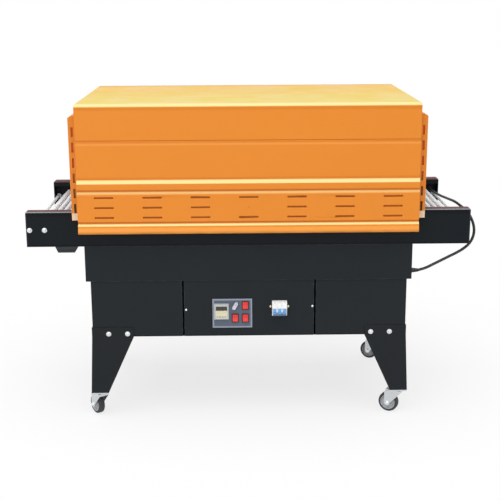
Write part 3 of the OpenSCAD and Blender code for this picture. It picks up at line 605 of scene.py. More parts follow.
class Shape:
    """Closed solids for one piece, each with the number of its finish."""

    def __init__(self):
        self.skin = bmesh.new()

    def block(self, size, place, finish=0):
        """A box of a size, placed by a matrix."""
        made = bmesh.ops.create_cube(self.skin, size=1, matrix=place @ Matrix.Diagonal((*size, 1)))
        for face in {face for corner in made["verts"] for face in corner.link_faces}:
            face.material_index = finish

    def box(self, low, high, finish=0):
        """A box between two corners."""
        low, high = Vector(low), Vector(high)
        self.block(high - low, Matrix.Translation((low + high) / 2), finish)

    def prism(self, outline, sweep):
        """A flat outline carried along a sweep."""
        ends = (Vector(), Vector(sweep))
        rings = [[self.skin.verts.new(Vector(p) + end) for p in outline] for end in ends]
        first, last = (ring[1:] + ring[:1] for ring in rings)
        for corners in [*zip(rings[0], first, last, rings[1]), *rings]:
            self.skin.faces.new(corners)

    def turned(self, profile, at, axis, sides, finishes=None):
        """A turned solid. The profile of (distance along, radius) ends on the axis or closes."""
        to_axis = Vector(axis).to_track_quat("Z", "Y").to_matrix()
        rings = []
        for along, radius in profile:
            angles = [2 * math.pi * i / sides for i in range(sides if radius else 1)]
            rings.append([self.skin.verts.new(Vector(at) + to_axis @ Vector((
                radius * math.cos(angle), radius * math.sin(angle), along))) for angle in angles])
        closing = rings[:1] if profile[0][1] else []
        for k, (lower, upper) in enumerate(zip(rings, rings[1:] + closing)):
            for i in range(sides):
                j = (i + 1) % sides
                corners = dict.fromkeys((lower[i % len(lower)], lower[j % len(lower)],
                                         upper[j % len(upper)], upper[i % len(upper)]))
                self.skin.faces.new(list(corners)).material_index = finishes[k] if finishes else 0

    def rod(self, reach, radius, at, axis, sides, finish=0):
        """A round rod that reaches equally far to both sides of a point."""
        profile = [(-reach, 0), (-reach, radius), (reach, radius), (reach, 0)]
        self.turned(profile, at, axis, sides, [finish] * 3)

    def piece(self, name, finishes, slot, *nodes, body=ROOT, width=0.0, segments=2):
        """The finished piece, with sharp edges rounded where a width is given."""
        bmesh.ops.recalc_face_normals(self.skin, faces=self.skin.faces)
        widest = weigh(self.skin, width) if width else 0
        mesh = as_mesh(self.skin, name)
        piece = placed(name, mesh, finishes)
        if width:
            rounded(piece, widest, segments)
        else:
            mesh.shade_smooth()
            mesh.set_sharp_from_angle(angle=SHARP)
        joined(piece, body, slot, *nodes)


class Recipe(Tree):
    """A Geometry Nodes tree that repeats one shape over loose points, with its sizes as named inputs."""

    def __init__(self, name, sizes):
        super().__init__(bpy.data.node_groups.new(name, "GeometryNodeTree"))
        face = self.tree.interface
        face.new_socket("Points", in_out="INPUT", socket_type="NodeSocketGeometry")
        self.settings = {}
        for label, value in sizes.items():
            socket = face.new_socket(label, in_out="INPUT", socket_type="NodeSocketFloat")
            socket.default_value, socket.subtype = value, "DISTANCE"
            self.settings[socket.identifier] = value
        face.new_socket("Pieces", in_out="OUTPUT", socket_type="NodeSocketGeometry")
        self.size = self.add("NodeGroupInput").outputs

    def moved(self, geometry, x=0.0, y=0.0, z=0.0, turn=(0, 0, 0), scale=(1, 1, 1)):
        """A shape, scaled, turned and then moved."""
        place = self.add("ShaderNodeCombineXYZ", {"X": x, "Y": y, "Z": z}).outputs[0]
        return self.add("GeometryNodeTransform", {
            "Geometry": geometry, "Translation": place, "Rotation": turn, "Scale": scale}).outputs[0]

    def join(self, *geometry):
        """Several shapes as one."""
        return self.add("GeometryNodeJoinGeometry", {"Geometry": list(geometry)}).outputs[0]

    def drum(self, sides, radius, depth):
        """A cylinder about the middle."""
        return self.add("GeometryNodeMeshCylinder", {
            "Vertices": sides, "Radius": radius, "Depth": depth}).outputs["Mesh"]

    def turned(self, sides, stations):
        """A turned shape from stations of (height, radius)."""
        shells = []
        for (low, wide), (high, narrow) in zip(stations, stations[1:]):
            wall = self.add("GeometryNodeMeshCone", {
                "Vertices": sides, "Radius Bottom": wide, "Radius Top": narrow,
                "Depth": self.calc("SUBTRACT", high, low)}, fill_type="NONE")
            shells.append(self.moved(wall.outputs["Mesh"], z=low))
        for height, radius in (stations[0], stations[-1]):
            lid = self.add("GeometryNodeMeshCircle", {"Vertices": sides, "Radius": radius}, fill_type="NGON")
            shells.append(self.moved(lid.outputs[0], z=height))
        return self.join(*shells)

    def grow(self, name, shape, places, finish, slot, *nodes,
             body=ROOT, axis="Z", pivot="AUTO", scale=(1, 1, 1)):
        """A piece that repeats the shape at places of (point, way), each turned to face its own way."""
        points, ways = zip(*places)
        mesh = bpy.data.meshes.new(name)
        mesh.from_pydata([tuple(p) for p in points], [], [])
        layer = mesh.attributes.new("facing", "FLOAT_VECTOR", "POINT")
        layer.data.foreach_set("vector", [value for way in ways for value in way])
        facing = self.add("GeometryNodeInputNamedAttribute", {"Name": "facing"}, data_type="FLOAT_VECTOR")
        turn = self.add("FunctionNodeAlignRotationToVector", {"Vector": facing.outputs[0]},
                        axis=axis, pivot_axis=pivot)
        spread = self.add("GeometryNodeInstanceOnPoints", {
            "Points": self.size["Points"], "Instance": shape, "Rotation": turn.outputs[0], "Scale": scale})
        solid = self.add("GeometryNodeRealizeInstances", {"Geometry": spread.outputs[0]})
        coated = self.add("GeometryNodeSetMaterial", {
            "Geometry": solid.outputs[0], "Material": Finish.made[finish]})
        self.add("NodeGroupOutput", {"Pieces": coated.outputs[0]})
        piece = placed(name, mesh)
        steps = piece.modifiers.new("Repeat", "NODES")
        steps.node_group = self.tree
        for key, value in self.settings.items():
            steps[key] = value
        joined(settled(piece, closed=True), body, slot, *nodes)


def hex_bolts(name, places, washer, thickness, head, height, body=ROOT):
    """Hexagon heads on round washers, at places of (point, way)."""
    recipe = Recipe("hex_bolt", {
        "Washer": washer, "Washer thickness": thickness, "Head": head, "Head height": height})
    wide, flat = recipe.size["Head"], recipe.size["Washer thickness"]
    ring = recipe.turned(20, [(0.0, recipe.size["Washer"]), (flat, recipe.size["Washer"])])
    top = recipe.calc("ADD", flat, recipe.size["Head height"])
    side = recipe.calc("SUBTRACT", top, 0.0011)
    hexagon = recipe.turned(6, [(flat, wide), (side, wide), (top, recipe.product(wide, 0.84))])
    recipe.grow(name, recipe.join(ring, hexagon), places, "bright_zinc", "caster_zinc", body=body)


def cross_screws(name, places, radius, finish, slot="caster_zinc"):
    """Pan heads with a cross recess, at places of (point, way)."""
    recipe = Recipe("cross_screw", {"Head": radius, "Recess": radius * 0.3})
    head, narrow = recipe.size["Head"], recipe.size["Recess"]
    ball = recipe.add("GeometryNodeMeshUVSphere", {"Segments": 16, "Rings": 8, "Radius": head})
    dome = recipe.moved(ball.outputs["Mesh"], scale=(1, 1, 0.55))
    long = recipe.product(head, 1.15)
    arms = []
    for x, y in ((long, narrow), (narrow, long)):
        extent = recipe.add("ShaderNodeCombineXYZ", {"X": x, "Y": y, "Z": head}).outputs[0]
        bar = recipe.add("GeometryNodeMeshCube", {"Size": extent}).outputs["Mesh"]
        arms.append(recipe.moved(bar, z=recipe.product(head, 0.80)))
    cut = recipe.add("GeometryNodeMeshBoolean", {"Mesh 1": dome, "Mesh 2": arms}, operation="DIFFERENCE")
    recipe.grow(name, cut.outputs["Mesh"], places, finish, slot)


def loop_points(sizes, count, start=0.0):
    """Points at even steps round the conveyor's loop, from a share of a step on."""
    run, radius = 2 * sizes.shaft_x, sizes.loop_radius
    half = loop_length(sizes) / 2
    points = []
    for i in range(count):
        lower, along = divmod((i + start) * 2 * half / count, half)
        if along < run:
            x, z = along - sizes.shaft_x, radius
        else:
            angle = math.pi / 2 - (along - run) / radius
            x, z = sizes.shaft_x + radius * math.cos(angle), radius * math.sin(angle)
        side = -1 if lower else 1
        points.append(Vector((side * x, 0, sizes.shaft_z + side * z)))
    return points


def loop_length(sizes):
    """The length of the conveyor's loop."""
    return 2 * (2 * sizes.shaft_x + math.pi * sizes.loop_radius)


# Operators
class TUNNEL_OT_stage(bpy.types.Operator):
    """Sets up the finishes, the camera, the floor and the light"""
    bl_idname = "tunnel.stage"
    bl_label = "Stage"
    bl_options = UNDOABLE

    def execute(self, context):
        stage = context.scene.tunnel_stage
        make_finishes(context.scene.tunnel_colours)
        self.camera(context.scene, stage)
        self.floor(stage)
        self.surround(context.scene, stage)
        self.overhead(stage)
        self.front(stage)
        context.scene.view_settings.view_transform = "Standard"
        return {"FINISHED"}

    def camera(self, scene, stage):
        """The camera stands where the photograph was taken from."""
        turn = Matrix.Rotation(-stage.yaw, 4, "Z") @ Matrix.Rotation(math.pi / 2 - stage.pitch, 4, "X")
        turn = turn @ Matrix.Rotation(stage.roll, 4, "Z")
        lens = bpy.data.cameras.new("camera")
        lens.lens, lens.sensor_width, lens.clip_end = stage.lens, 36, 200
        scene.camera = placed("camera", lens)
        scene.camera.matrix_world = Matrix.Translation(stage.camera_at) @ turn

    def floor(self, stage):
        """A pale floor that keeps the shadow near the object and runs out to white."""
        mesh = bpy.data.meshes.new("studio_floor")
        reach = 60
        corners = [(x * reach, y * reach, 0) for x, y in ((-1, -1), (1, -1), (1, 1), (-1, 1))]
        mesh.from_pydata(corners, [], [(0, 1, 2, 3)])
        finish = Finish("floor_paper", stage.floor, 0.9, Specular_IOR_Level=0.1)
        glow = finish.add("ShaderNodeEmission", {"Strength": 1.0})
        distance = finish.add("ShaderNodeVectorMath", {0: finish.place}, operation="LENGTH").outputs["Value"]
        share = finish.product(finish.band(distance, 0.9, 2.2, 0.76, 1.0), finish.seen())
        mix = finish.add("ShaderNodeMixShader", {0: share, 1: finish.shader.outputs[0], 2: glow.outputs[0]})
        finish.feed(finish.tree.nodes["Material Output"].inputs["Surface"], mix.outputs[0])
        floor = placed("studio_floor", mesh, ["floor_paper"])

    def surround(self, scene, stage):
        """Even light from all round, which shows as white."""
        scene.world = bpy.data.worlds.new("studio")
        scene.world.use_nodes = True
        scene.world.node_tree.nodes.clear()
        sky = Tree(scene.world.node_tree)
        light, white = (sky.add("ShaderNodeBackground", {"Color": (1, 1, 1, 1), "Strength": strength})
                        for strength in (stage.sky, 1.0))
        mix = sky.add("ShaderNodeMixShader", {0: sky.seen(), 1: light.outputs[0], 2: white.outputs[0]})
        sky.add("ShaderNodeOutputWorld", {"Surface": mix.outputs[0]})

    def overhead(self, stage):
        """A broad soft light from above and a little in front."""
        light = bpy.data.lights.new("overhead_light", "SUN")
        light.energy, light.angle = stage.overhead, math.radians(70)
        placed("overhead_light", light).rotation_euler = (math.radians(16), math.radians(-4), 0)

    def front(self, stage):
        """A soft rectangular lamp beside the camera."""
        light = bpy.data.lights.new("front_lamp", "AREA")
        light.shape, light.energy = "RECTANGLE", stage.front
        light.size, light.size_y = 3.0, 2.0
        lamp = placed("front_lamp", light)
        at, towards = Vector((-1.6, -4.6, 2.6)), Vector((0, 0, 0.6))
        lamp.location = at
        lamp.rotation_mode = "QUATERNION"
        lamp.rotation_quaternion = (towards - at).to_track_quat("-Z", "Y")


class TUNNEL_OT_link_cable(bpy.types.Operator):
    """Makes the link cable and the ribbed glands at its ends"""
    bl_idname = "tunnel.link_cable"
    bl_label = "Link cable"
    bl_options = UNDOABLE

    def execute(self, context):
        sizes = context.scene.tunnel_sizes
        curve = bpy.data.curves.new("link_cable_sheath", "CURVE")
        curve.dimensions, curve.resolution_u = "3D", 6
        curve.bevel_depth, curve.bevel_resolution, curve.use_fill_caps = sizes.cable / 2, 5, True
        spline = curve.splines.new("BEZIER")
        spline.bezier_points.add(len(CABLE_ROUTE) - 1)
        for knot, at in zip(spline.bezier_points, CABLE_ROUTE):
            knot.co = at
            knot.handle_left_type = knot.handle_right_type = "AUTO"
        cable = placed("link_cable_sheath", curve, ["cable_rubber"])
        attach(cable, ROOT)
        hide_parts("link_cable")
        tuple(CABLE_ROUTE[0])
        self.glands(sizes)
        return {"FINISHED"}

    def glands(self, sizes):
        """A tapered gland with five ribs at each end, and a nut under the first."""
        glands = Shape()
        length, seat, neck, mouth = 0.026, 0.0095, 0.0082, sizes.cable / 2 + 0.0002
        profile = [(0, 0), (0, seat), (0.004, seat), (0.0045, neck), (0.007, neck)]
        for rib in range(5):
            start, radius = 0.0075 + rib * 0.0034, 0.0085 - rib * 0.00045
            profile += [(start, radius), (start + 0.002, radius - 0.0002), (start + 0.0022, radius - 0.0012),
                        (start + 0.0032, radius - 0.0013)]
        profile += [(length, 0.0066), (length, mouth), (length - 0.004, mouth), (length - 0.004, 0)]
        out, across = Vector((1, 0, 0)), Vector((0, -1, 0))
        for end, way in ((CABLE_ROUTE[0], out), (CABLE_ROUTE[-1], across)):
            glands.turned(profile, end - length * way, way, 24)
        nut = [(-0.0005, 0), (-0.0005, 0.0118), (0.0024, 0.0118), (0.003, 0.0110), (0.003, 0)]
        glands.turned(nut, CABLE_ROUTE[0] - length * out, out, 6)
        glands.piece("cable_gland_ribs", ["black_plastic"], "black_plastic", "cable_glands")


class TUNNEL_OT_hood(bpy.types.Operator):
    """Makes the hood's cover, walls, vent skirts and jambs"""
    bl_idname = "tunnel.hood"
    bl_label = "Hood"
    bl_options = UNDOABLE

    def execute(self, context):
        coat = ("orange_powder_coat", "hood_paint")
        softened("hood_top_cover", context.scene.tunnel_sizes.hood_edge, *coat, segments=3)
        for node in ("hood_front_wall", "hood_rear_wall"):
            low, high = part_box(node)
            face, top = max(abs(low.y), abs(high.y)), high.z

            def folds(first, second):
                """The upper outer edge is folded over a larger radius."""
                middle = (first + second) / 2
                return 0.004 if same(middle.z, top) and same(abs(middle.y), face) else None

            softened(node, 0.0008, *coat, segments=3, folds=folds)
        for node in ("front_vent_skirt", "rear_vent_skirt"):
            softened(node, 0.0011, *coat)
        for node in ("left_end_jambs", "right_end_jambs"):
            softened(node, 0.0012, "orange_frame_coat", "hood_paint")
        return {"FINISHED"}


class TUNNEL_OT_end_frames(bpy.types.Operator):
    """Makes the slotted frames round the tunnel's mouths"""
    bl_idname = "tunnel.end_frames"
    bl_label = "End frames"
    bl_options = UNDOABLE

    def execute(self, context):
        width = context.scene.tunnel_sizes.sheet_edge
        for node in ("left_end_frame", "right_end_frame"):
            softened(node, width, "orange_frame_coat", "hood_paint", edge="orange_worn_edge")
        # Strips behind the slots stand for the frames' folded returns, coated in painted shade
        returns = Shape()
        low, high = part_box("right_end_frame")
        for end in BOTH:
            for side in BOTH:
                ends = sorted((end * (low.x + 0.0015), end * (high.x - 0.0025)))
                faces = sorted((side * (high.y - 0.0060), side * (high.y - 0.0045)))
                returns.box((ends[0], faces[0], low.z + 0.0025), (ends[1], faces[1], high.z - 0.034))
        returns.piece("end_frame_returns", ["orange_return_coat"], "hood_paint", width=0.0004)
        return {"FINISHED"}


class TUNNEL_OT_lining(bpy.types.Operator):
    """Makes the galvanised lining of the tunnel"""
    bl_idname = "tunnel.lining"
    bl_label = "Lining"
    bl_options = UNDOABLE

    def execute(self, context):
        for node in ("duct_plates", "tunnel_ceiling"):
            softened(node, 0.0005, "lining_galvanised", "lining_steel", segments=1)
        return {"FINISHED"}


class TUNNEL_OT_rails(bpy.types.Operator):
    """Makes the folded side rails and the tie rods between them"""
    bl_idname = "tunnel.rails"
    bl_label = "Rails"
    bl_options = UNDOABLE

    def execute(self, context):
        sizes = context.scene.tunnel_sizes
        for node in ("front_rail", "rear_rail"):
            low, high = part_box(node)
            lip, face = sorted((abs(low.y), abs(high.y)))
            ends, top = high.x, high.z

            def folds(first, second):
                """The outer edges, the lip's upper edge and the ends are folds, and the rest are cut."""
                middle = (first + second) / 2
                outer, upper = same(abs(middle.y), face), same(middle.z, top)
                lengthwise = abs(second.x - first.x) > 1
                if lengthwise and outer:
                    return sizes.rail_fold
                at_lip = lengthwise and upper and same(abs(middle.y), lip)
                at_end = same(abs(middle.x), ends) and (outer or upper)
                return sizes.rail_fold * 2 if at_lip or at_end else None

            softened(node, sizes.sheet_edge, "rail_charcoal", "rail_paint", "rail_worn_edge", 3, folds)
        self.ties()
        return {"FINISHED"}

    def ties(self):
        """Two rods between the rails, with a nut at each end."""
        low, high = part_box("rail_ties")
        ties = Shape()
        reach, radius, height = high.y, 0.006, (low.z + high.z) / 2
        nut = [(0, 0), (0, 0.0105), (0.0075, 0.0105), (0.0095, 0.009), (0.0095, 0)]
        for x in (low.x + radius, high.x - radius):
            ties.rod(reach, radius, (x, 0, height), (0, 1, 0), 28)
            for side in BOTH:
                ties.turned(nut, (x, side * reach, height), (0, -side, 0), 6)
        ties.piece("rail_tie_rods", ["roller_steel"], "rail_paint", "rail_ties")


class TUNNEL_OT_rollers(bpy.types.Operator):
    """Makes the conveyor's rollers"""
    bl_idname = "tunnel.rollers"
    bl_label = "Rollers"
    bl_options = UNDOABLE

    def execute(self, context):
        sizes = context.scene.tunnel_sizes
        pitch, start = 0.0236, 0.8
        count = math.floor(loop_length(sizes) / pitch)
        places = [(point, (0, 1, 0)) for point in loop_points(sizes, count, start)]
        recipe = Recipe("roller", {
            "Diameter": sizes.roller, "Length": sizes.roller_length, "Chamfer": 0.0009})
        radius = recipe.product(recipe.size["Diameter"], 0.5)
        reach = recipe.product(recipe.size["Length"], 0.5)
        chamfer = recipe.size["Chamfer"]
        shoulder, rim = (recipe.calc("SUBTRACT", value, chamfer) for value in (reach, radius))
        far_shoulder, far_reach = (recipe.product(value, -1.0) for value in (shoulder, reach))
        tube = recipe.turned(16, [(far_reach, rim), (far_shoulder, radius), (shoulder, radius), (reach, rim)])
        recipe.grow("conveyor_roller_tubes", tube, places, "roller_steel", "roller_steel", "conveyor_rollers")
        return {"FINISHED"}


class TUNNEL_OT_chains(bpy.types.Operator):
    """Makes the two conveyor chains, and the end shafts with their sprockets"""
    bl_idname = "tunnel.chains"
    bl_label = "Chains and shafts"
    bl_options = UNDOABLE

    def execute(self, context):
        sizes = context.scene.tunnel_sizes
        pins = loop_points(sizes, 2 * math.floor(loop_length(sizes) / sizes.link_pitch / 2))
        places = []
        for side in BOTH:
            for pin, ahead in zip(pins, pins[1:] + pins[:1]):
                middle = (pin + ahead) / 2 + Vector((0, side * sizes.chain_y, 0))
                places.append((middle, (ahead - pin).normalized()))
        recipe = Recipe("chain_link", {
            "Pitch": sizes.link_pitch, "Plate height": 0.0096, "Width": 0.0104, "Barrel": 0.0072})
        quarter = (math.pi / 2, 0, 0)
        plate = recipe.drum(10, recipe.product(recipe.size["Plate height"], 0.5), 0.0014)
        out = recipe.product(recipe.size["Width"], 0.5)
        plates = [recipe.moved(plate, y=recipe.product(out, side), turn=quarter, scale=(1.85, 1, 1))
                  for side in (-1.0, 1.0)]
        barrel = recipe.drum(8, recipe.product(recipe.size["Barrel"], 0.5), recipe.size["Width"])
        barrel = recipe.moved(barrel, x=recipe.product(recipe.size["Pitch"], -0.5), turn=quarter)
        odd = recipe.calc("MODULO", recipe.add("GeometryNodeInputIndex").outputs[0], 2.0)
        narrower = recipe.calc("SUBTRACT", 1.0, recipe.product(odd, 0.32))
        scale = recipe.add("ShaderNodeCombineXYZ", {"X": 1.0, "Y": narrower, "Z": 1.0}).outputs[0]
        link = recipe.join(*plates, barrel)
        recipe.grow("conveyor_chain_links", link, places, "chain_steel", "chain_steel", "conveyor_chains",
                    axis="X", pivot="Y", scale=scale)
        self.shafts(sizes)
        return {"FINISHED"}

    def shafts(self, sizes):
        """The end shafts, each with two sprockets and their hubs."""
        shafts = Shape()
        reach, radius, teeth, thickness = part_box("end_shafts")[1].y, 0.010, 11, 0.005
        tooth = ((0.0, 0.0172), (0.28, 0.0180), (0.43, 0.0226), (0.57, 0.0226), (0.72, 0.0180))
        hub = [(0, 0), (0, 0.0155), (0.011, 0.0155), (0.012, 0.0145), (0.012, 0)]
        for x in (-sizes.shaft_x, sizes.shaft_x):
            middle = Vector((x, 0, sizes.shaft_z))
            shafts.rod(reach, radius, middle, (0, 1, 0), 32, 1)
            for side in BOTH:
                start = middle + Vector((0, side * sizes.chain_y - thickness / 2, 0))
                outline = []
                for index in range(teeth):
                    for share, far in tooth:
                        angle = 2 * math.pi * (index + share) / teeth
                        outline.append(start + far * Vector((math.cos(angle), 0, math.sin(angle))))
                shafts.prism(outline, (0, thickness, 0))
                hub_at = middle + Vector((0, side * (sizes.chain_y + 0.0075), 0))
                shafts.turned(hub, hub_at, (0, side, 0), 28)
        shafts.piece("end_shaft_sprockets", ["chain_steel", "roller_steel"], "chain_steel", "end_shafts")


class TUNNEL_OT_tray(bpy.types.Operator):
    """Makes the tray under the infeed end"""
    bl_idname = "tunnel.tray"
    bl_label = "Infeed tray"
    bl_options = UNDOABLE

    def execute(self, context):
        width = context.scene.tunnel_sizes.sheet_edge
        softened("infeed_tray", width, "tray_charcoal", "tray_paint", edge="cabinet_worn_edge")
        return {"FINISHED"}


class TUNNEL_OT_cabinet(bpy.types.Operator):
    """Makes the apron, the cabinet's panels and its floors"""
    bl_idname = "tunnel.cabinet"
    bl_label = "Cabinet"
    bl_options = UNDOABLE

    def execute(self, context):
        width = context.scene.tunnel_sizes.sheet_edge
        for node in ("front_apron", "rear_apron", "apron_ends", "apron_floor", "front_side_panels",
                     "control_panel", "rear_panels", "cabinet_ends", "cabinet_floor"):
            softened(node, width, "cabinet_charcoal", "cabinet_paint", edge="cabinet_worn_edge")
        return {"FINISHED"}


class TUNNEL_OT_legs(bpy.types.Operator):
    """Makes the four tapered legs"""
    bl_idname = "tunnel.legs"
    bl_label = "Legs"
    bl_options = UNDOABLE

    def execute(self, context):
        width = context.scene.tunnel_sizes.sheet_edge * 1.3
        for corner in CASTERS:
            softened(corner + "_leg", width, "leg_charcoal", "leg_paint")
        return {"FINISHED"}


class TUNNEL_OT_fasteners(bpy.types.Operator):
    """Makes the bolts on the rails and legs, and the screws in the panels"""
    bl_idname = "tunnel.fasteners"
    bl_label = "Fasteners"
    bl_options = UNDOABLE

    def execute(self, context):
        sizes = context.scene.tunnel_sizes
        rail, leg, panel = (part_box(node)[0].y for node in ("front_rail", "front_left_leg", "control_panel"))
        leg_side, leg_row = 0.5765, 0.331
        on_front, on_side = (0.446, 0.515), (0.206, 0.266)
        bolts = []
        for side in BOTH:
            for x in (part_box("rail_ties")[0].x + 0.006, -sizes.shaft_x):
                bolts.append(((x, -side * rail, sizes.shaft_z), (0, side, 0)))
            for end in BOTH:
                bolts += [((end * x, -side * leg, leg_row), (0, side, 0)) for x in on_front]
                bolts += [((end * leg_side, side * y, leg_row), (end, 0, 0)) for y in on_side]
        hex_bolts("rail_and_leg_bolts", bolts, sizes.washer, 0.0016, sizes.bolt_head, 0.0058)

        plate_top, spots = 0.104, (-0.021, 0.019)
        feet = [((side_x * (STEM[0] + dx), side_y * (STEM[1] + dy), plate_top), (0, 0, 1))
                for side_x, side_y, _ in CASTERS.values() for dx in spots for dy in spots]
        hex_bolts("caster_foot_bolts", feet, 0.006, 0.0012, 0.0046, 0.0045)

        screws = [((x, side * -panel, z), (0, side, 0))
                  for side in BOTH for x, z in ((-0.230, 0.420), (0.231, 0.430))]
        cross_screws("panel_screws", screws, sizes.screw_head, "bright_zinc")
        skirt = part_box("rear_vent_skirt")[1].y - 0.008
        middles = [((0, side * skirt, 0.813), (0, side, 0)) for side in BOTH]
        cross_screws("skirt_screws", middles, 0.0026, "orange_frame_coat", "hood_paint")
        low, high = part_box("circuit_breaker")
        ears = [((x, panel, 0.430), (0, -1, 0)) for x in (low.x - 0.0048, high.x + 0.0048)]
        cross_screws("breaker_ear_screws", ears, 0.0046, "brass_screw")
        return {"FINISHED"}


class TUNNEL_OT_control_plate(bpy.types.Operator):
    """Makes the control plate and the temperature controller on it"""
    bl_idname = "tunnel.control_plate"
    bl_label = "Control plate and controller"
    bl_options = UNDOABLE

    def execute(self, context):
        softened("control_plate", 0.0009, "control_plate_paint", "plate_paint")
        low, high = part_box("temperature_controller")
        left, right, bottom, top = low.x, high.x, low.z, high.z
        back, front = high.y, low.y
        inset, border, lap, split = 0.002, 0.0065, 0.001, 0.4185
        housing = Shape()
        housing.box((left, front + 0.004, bottom), (right, back, top))
        for west, east, south, north in (
            (left + inset, left + border, bottom + inset, top - inset),
            (right - border, right - inset, bottom + inset, top - inset),
            (left + border - lap, right - border + lap, top - 0.0095, top - inset),
            (left + border - lap, right - border + lap, bottom + inset, bottom + 0.0058),
        ):
            housing.box((west, front, south), (east, front + 0.005, north))
        housing.piece("controller_housing", ["controller_housing"], "controller_plastic",
                      "temperature_controller", width=0.0007)

        face = Shape()
        west, east = left + border - lap / 2, right - border + lap / 2
        face.box((west, front + 0.0012, split + 0.0006), (east, front + 0.0045, top - 0.009), 0)
        face.box((west, front + 0.0008, bottom + 0.0053), (east, front + 0.0045, split - 0.0002), 1)
        for key in range(4):
            x = west + 0.0030 + key * 0.0095
            face.box((x, front - 0.0001, bottom + 0.0088), (x + 0.0064, front + 0.002, bottom + 0.0132), 2)
        face.piece("controller_face", ["display_window", "controller_keypad", "controller_keys"],
                   "controller_plastic", width=0.0004)
        return {"FINISHED"}


class TUNNEL_OT_switches(bpy.types.Operator):
    """Makes the red rockers and their rims"""
    bl_idname = "tunnel.switches"
    bl_label = "Rocker switches"
    bl_options = UNDOABLE

    def execute(self, context):
        softened("switch_rims", 0.0007, "black_plastic", "black_plastic")
        for node in ("upper_rocker", "lower_left_rocker", "lower_right_rocker"):
            softened(node, 0.0006, "rocker_red", "red_plastic", segments=3)
        return {"FINISHED"}


class TUNNEL_OT_speed_knob(bpy.types.Operator):
    """Makes the speed knob with its pointer"""
    bl_idname = "tunnel.speed_knob"
    bl_label = "Speed knob"
    bl_options = UNDOABLE

    def execute(self, context):
        at, out = Vector((-0.051, -0.321, 0.436)), Vector((0, -1, 0))
        tilt = Matrix.Rotation(math.radians(29), 4, "Y")
        knob = Shape()
        skirt = [(-0.003, 0), (-0.003, 0.00325), (0.0003, 0.00325), (0.0003, 0.013), (0.0022, 0.013),
                 (0.0036, 0.0118), (0.0036, 0)]
        knob.turned(skirt, at, out, 48, [1] * 6)
        radius, reach = 0.0065, 0.009
        outline = []
        for end, first in ((1, 0), (-1, -180)):
            for step in range(9):
                angle = math.radians(first + step * 22.5)
                corner = Vector((radius * math.cos(angle), 0, radius * math.sin(angle) + end * reach))
                outline.append(at + 0.003 * out + tilt @ corner)
        knob.prism(outline, 0.008 * out)
        mark = Matrix.Translation(at + 0.0111 * out) @ tilt @ Matrix.Translation((0, 0.00025, 0.008))
        knob.block((0.0012, 0.0007, 0.012), mark, 2)
        knob.piece("speed_knob_grip", ["knob_plastic", "knob_skirt", "knob_mark"], "knob_plastic",
                   "speed_knob", body="speed_knob", width=0.0006, segments=3)
        return {"FINISHED"}


class TUNNEL_OT_breaker(bpy.types.Operator):
    """Makes the three poles of the circuit breaker and its lever"""
    bl_idname = "tunnel.breaker"
    bl_label = "Circuit breaker"
    bl_options = UNDOABLE

    def execute(self, context):
        low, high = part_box("circuit_breaker")
        pole, seam, beyond = (high.x - low.x) / 3, 0.00025, -0.001
        body = Shape()
        for index in range(3):
            left = low.x + index * pole + (seam if index else beyond)
            right = low.x + (index + 1) * pole - (seam if index < 2 else beyond)
            mesh = as_mesh(self.cut_pole(left, right), "pole")
            body.skin.from_mesh(mesh)
            bpy.data.meshes.remove(mesh)
        depth, height, middle = high.y - low.y, high.z - low.z, (low.z + high.z) / 2
        terminal = [(-0.002, 0), (-0.002, 0.0041), (0.0004, 0.0041), (0.0006, 0.0034), (-0.0004, 0.0030),
                    (-0.0004, 0)]
        for index in range(3):
            for end in BOTH:
                at = (low.x + (index + 0.5) * pole, high.y - depth * 0.8, middle + end * height * 5 / 12)
                slope = Vector((0, -height / 6, end * depth * 0.4)).normalized()
                body.turned(terminal, at, slope, 20, [0, 0, 0, 1, 1])
        body.piece("breaker_poles", ["breaker_housing", "breaker_well"], "breaker_plastic", "circuit_breaker",
                   width=0.0006)
        self.lever(Vector(((low.x + high.x) / 2, low.y + 0.002, middle - 0.008)), pole)
        return {"FINISHED"}

    def cut_pole(self, left, right):
        """The part of the breaker's skin between two planes, closed."""
        skin = merged("circuit_breaker")
        for at, way in ((left, -1), (right, 1)):
            cut = bmesh.ops.bisect_plane(
                skin, geom=skin.verts[:] + skin.edges[:] + skin.faces[:], dist=1e-6, plane_co=(at, 0, 0),
                plane_no=(way, 0, 0), clear_outer=True)["geom_cut"]
            edges = [item for item in cut if isinstance(item, bmesh.types.BMEdge)]
            if edges:
                bmesh.ops.contextual_create(skin, geom=edges)
        return skin

    def lever(self, pin, pole):
        """Three blue toggles on a pale barrel, joined by a darker bar at their ends."""
        radius, along = 0.009, (1, 0, 0)
        lever = Shape()
        lever.rod(1.5 * pole - 0.002, radius - 0.0005, pin, along, 40)
        swing = Matrix.Translation(pin) @ Matrix.Rotation(math.radians(40), 4, "X")
        for x in (-pole, 0, pole):
            lever.rod(pole * 0.31, radius, pin + Vector((x, 0, 0)), along, 40, 1)
            lever.block((pole * 0.6, 2 * radius, 0.005), swing @ Matrix.Translation((x, -radius, 0)), 1)
        lever.block((pole * 2.7, radius / 2, 0.007), swing @ Matrix.Translation((0, -1.8 * radius, 0)), 2)
        lever.piece("breaker_toggles", ["lever_barrel", "lever_blue", "lever_bar"], "lever_plastic",
                    "breaker_lever", body="breaker_lever", width=0.0005)


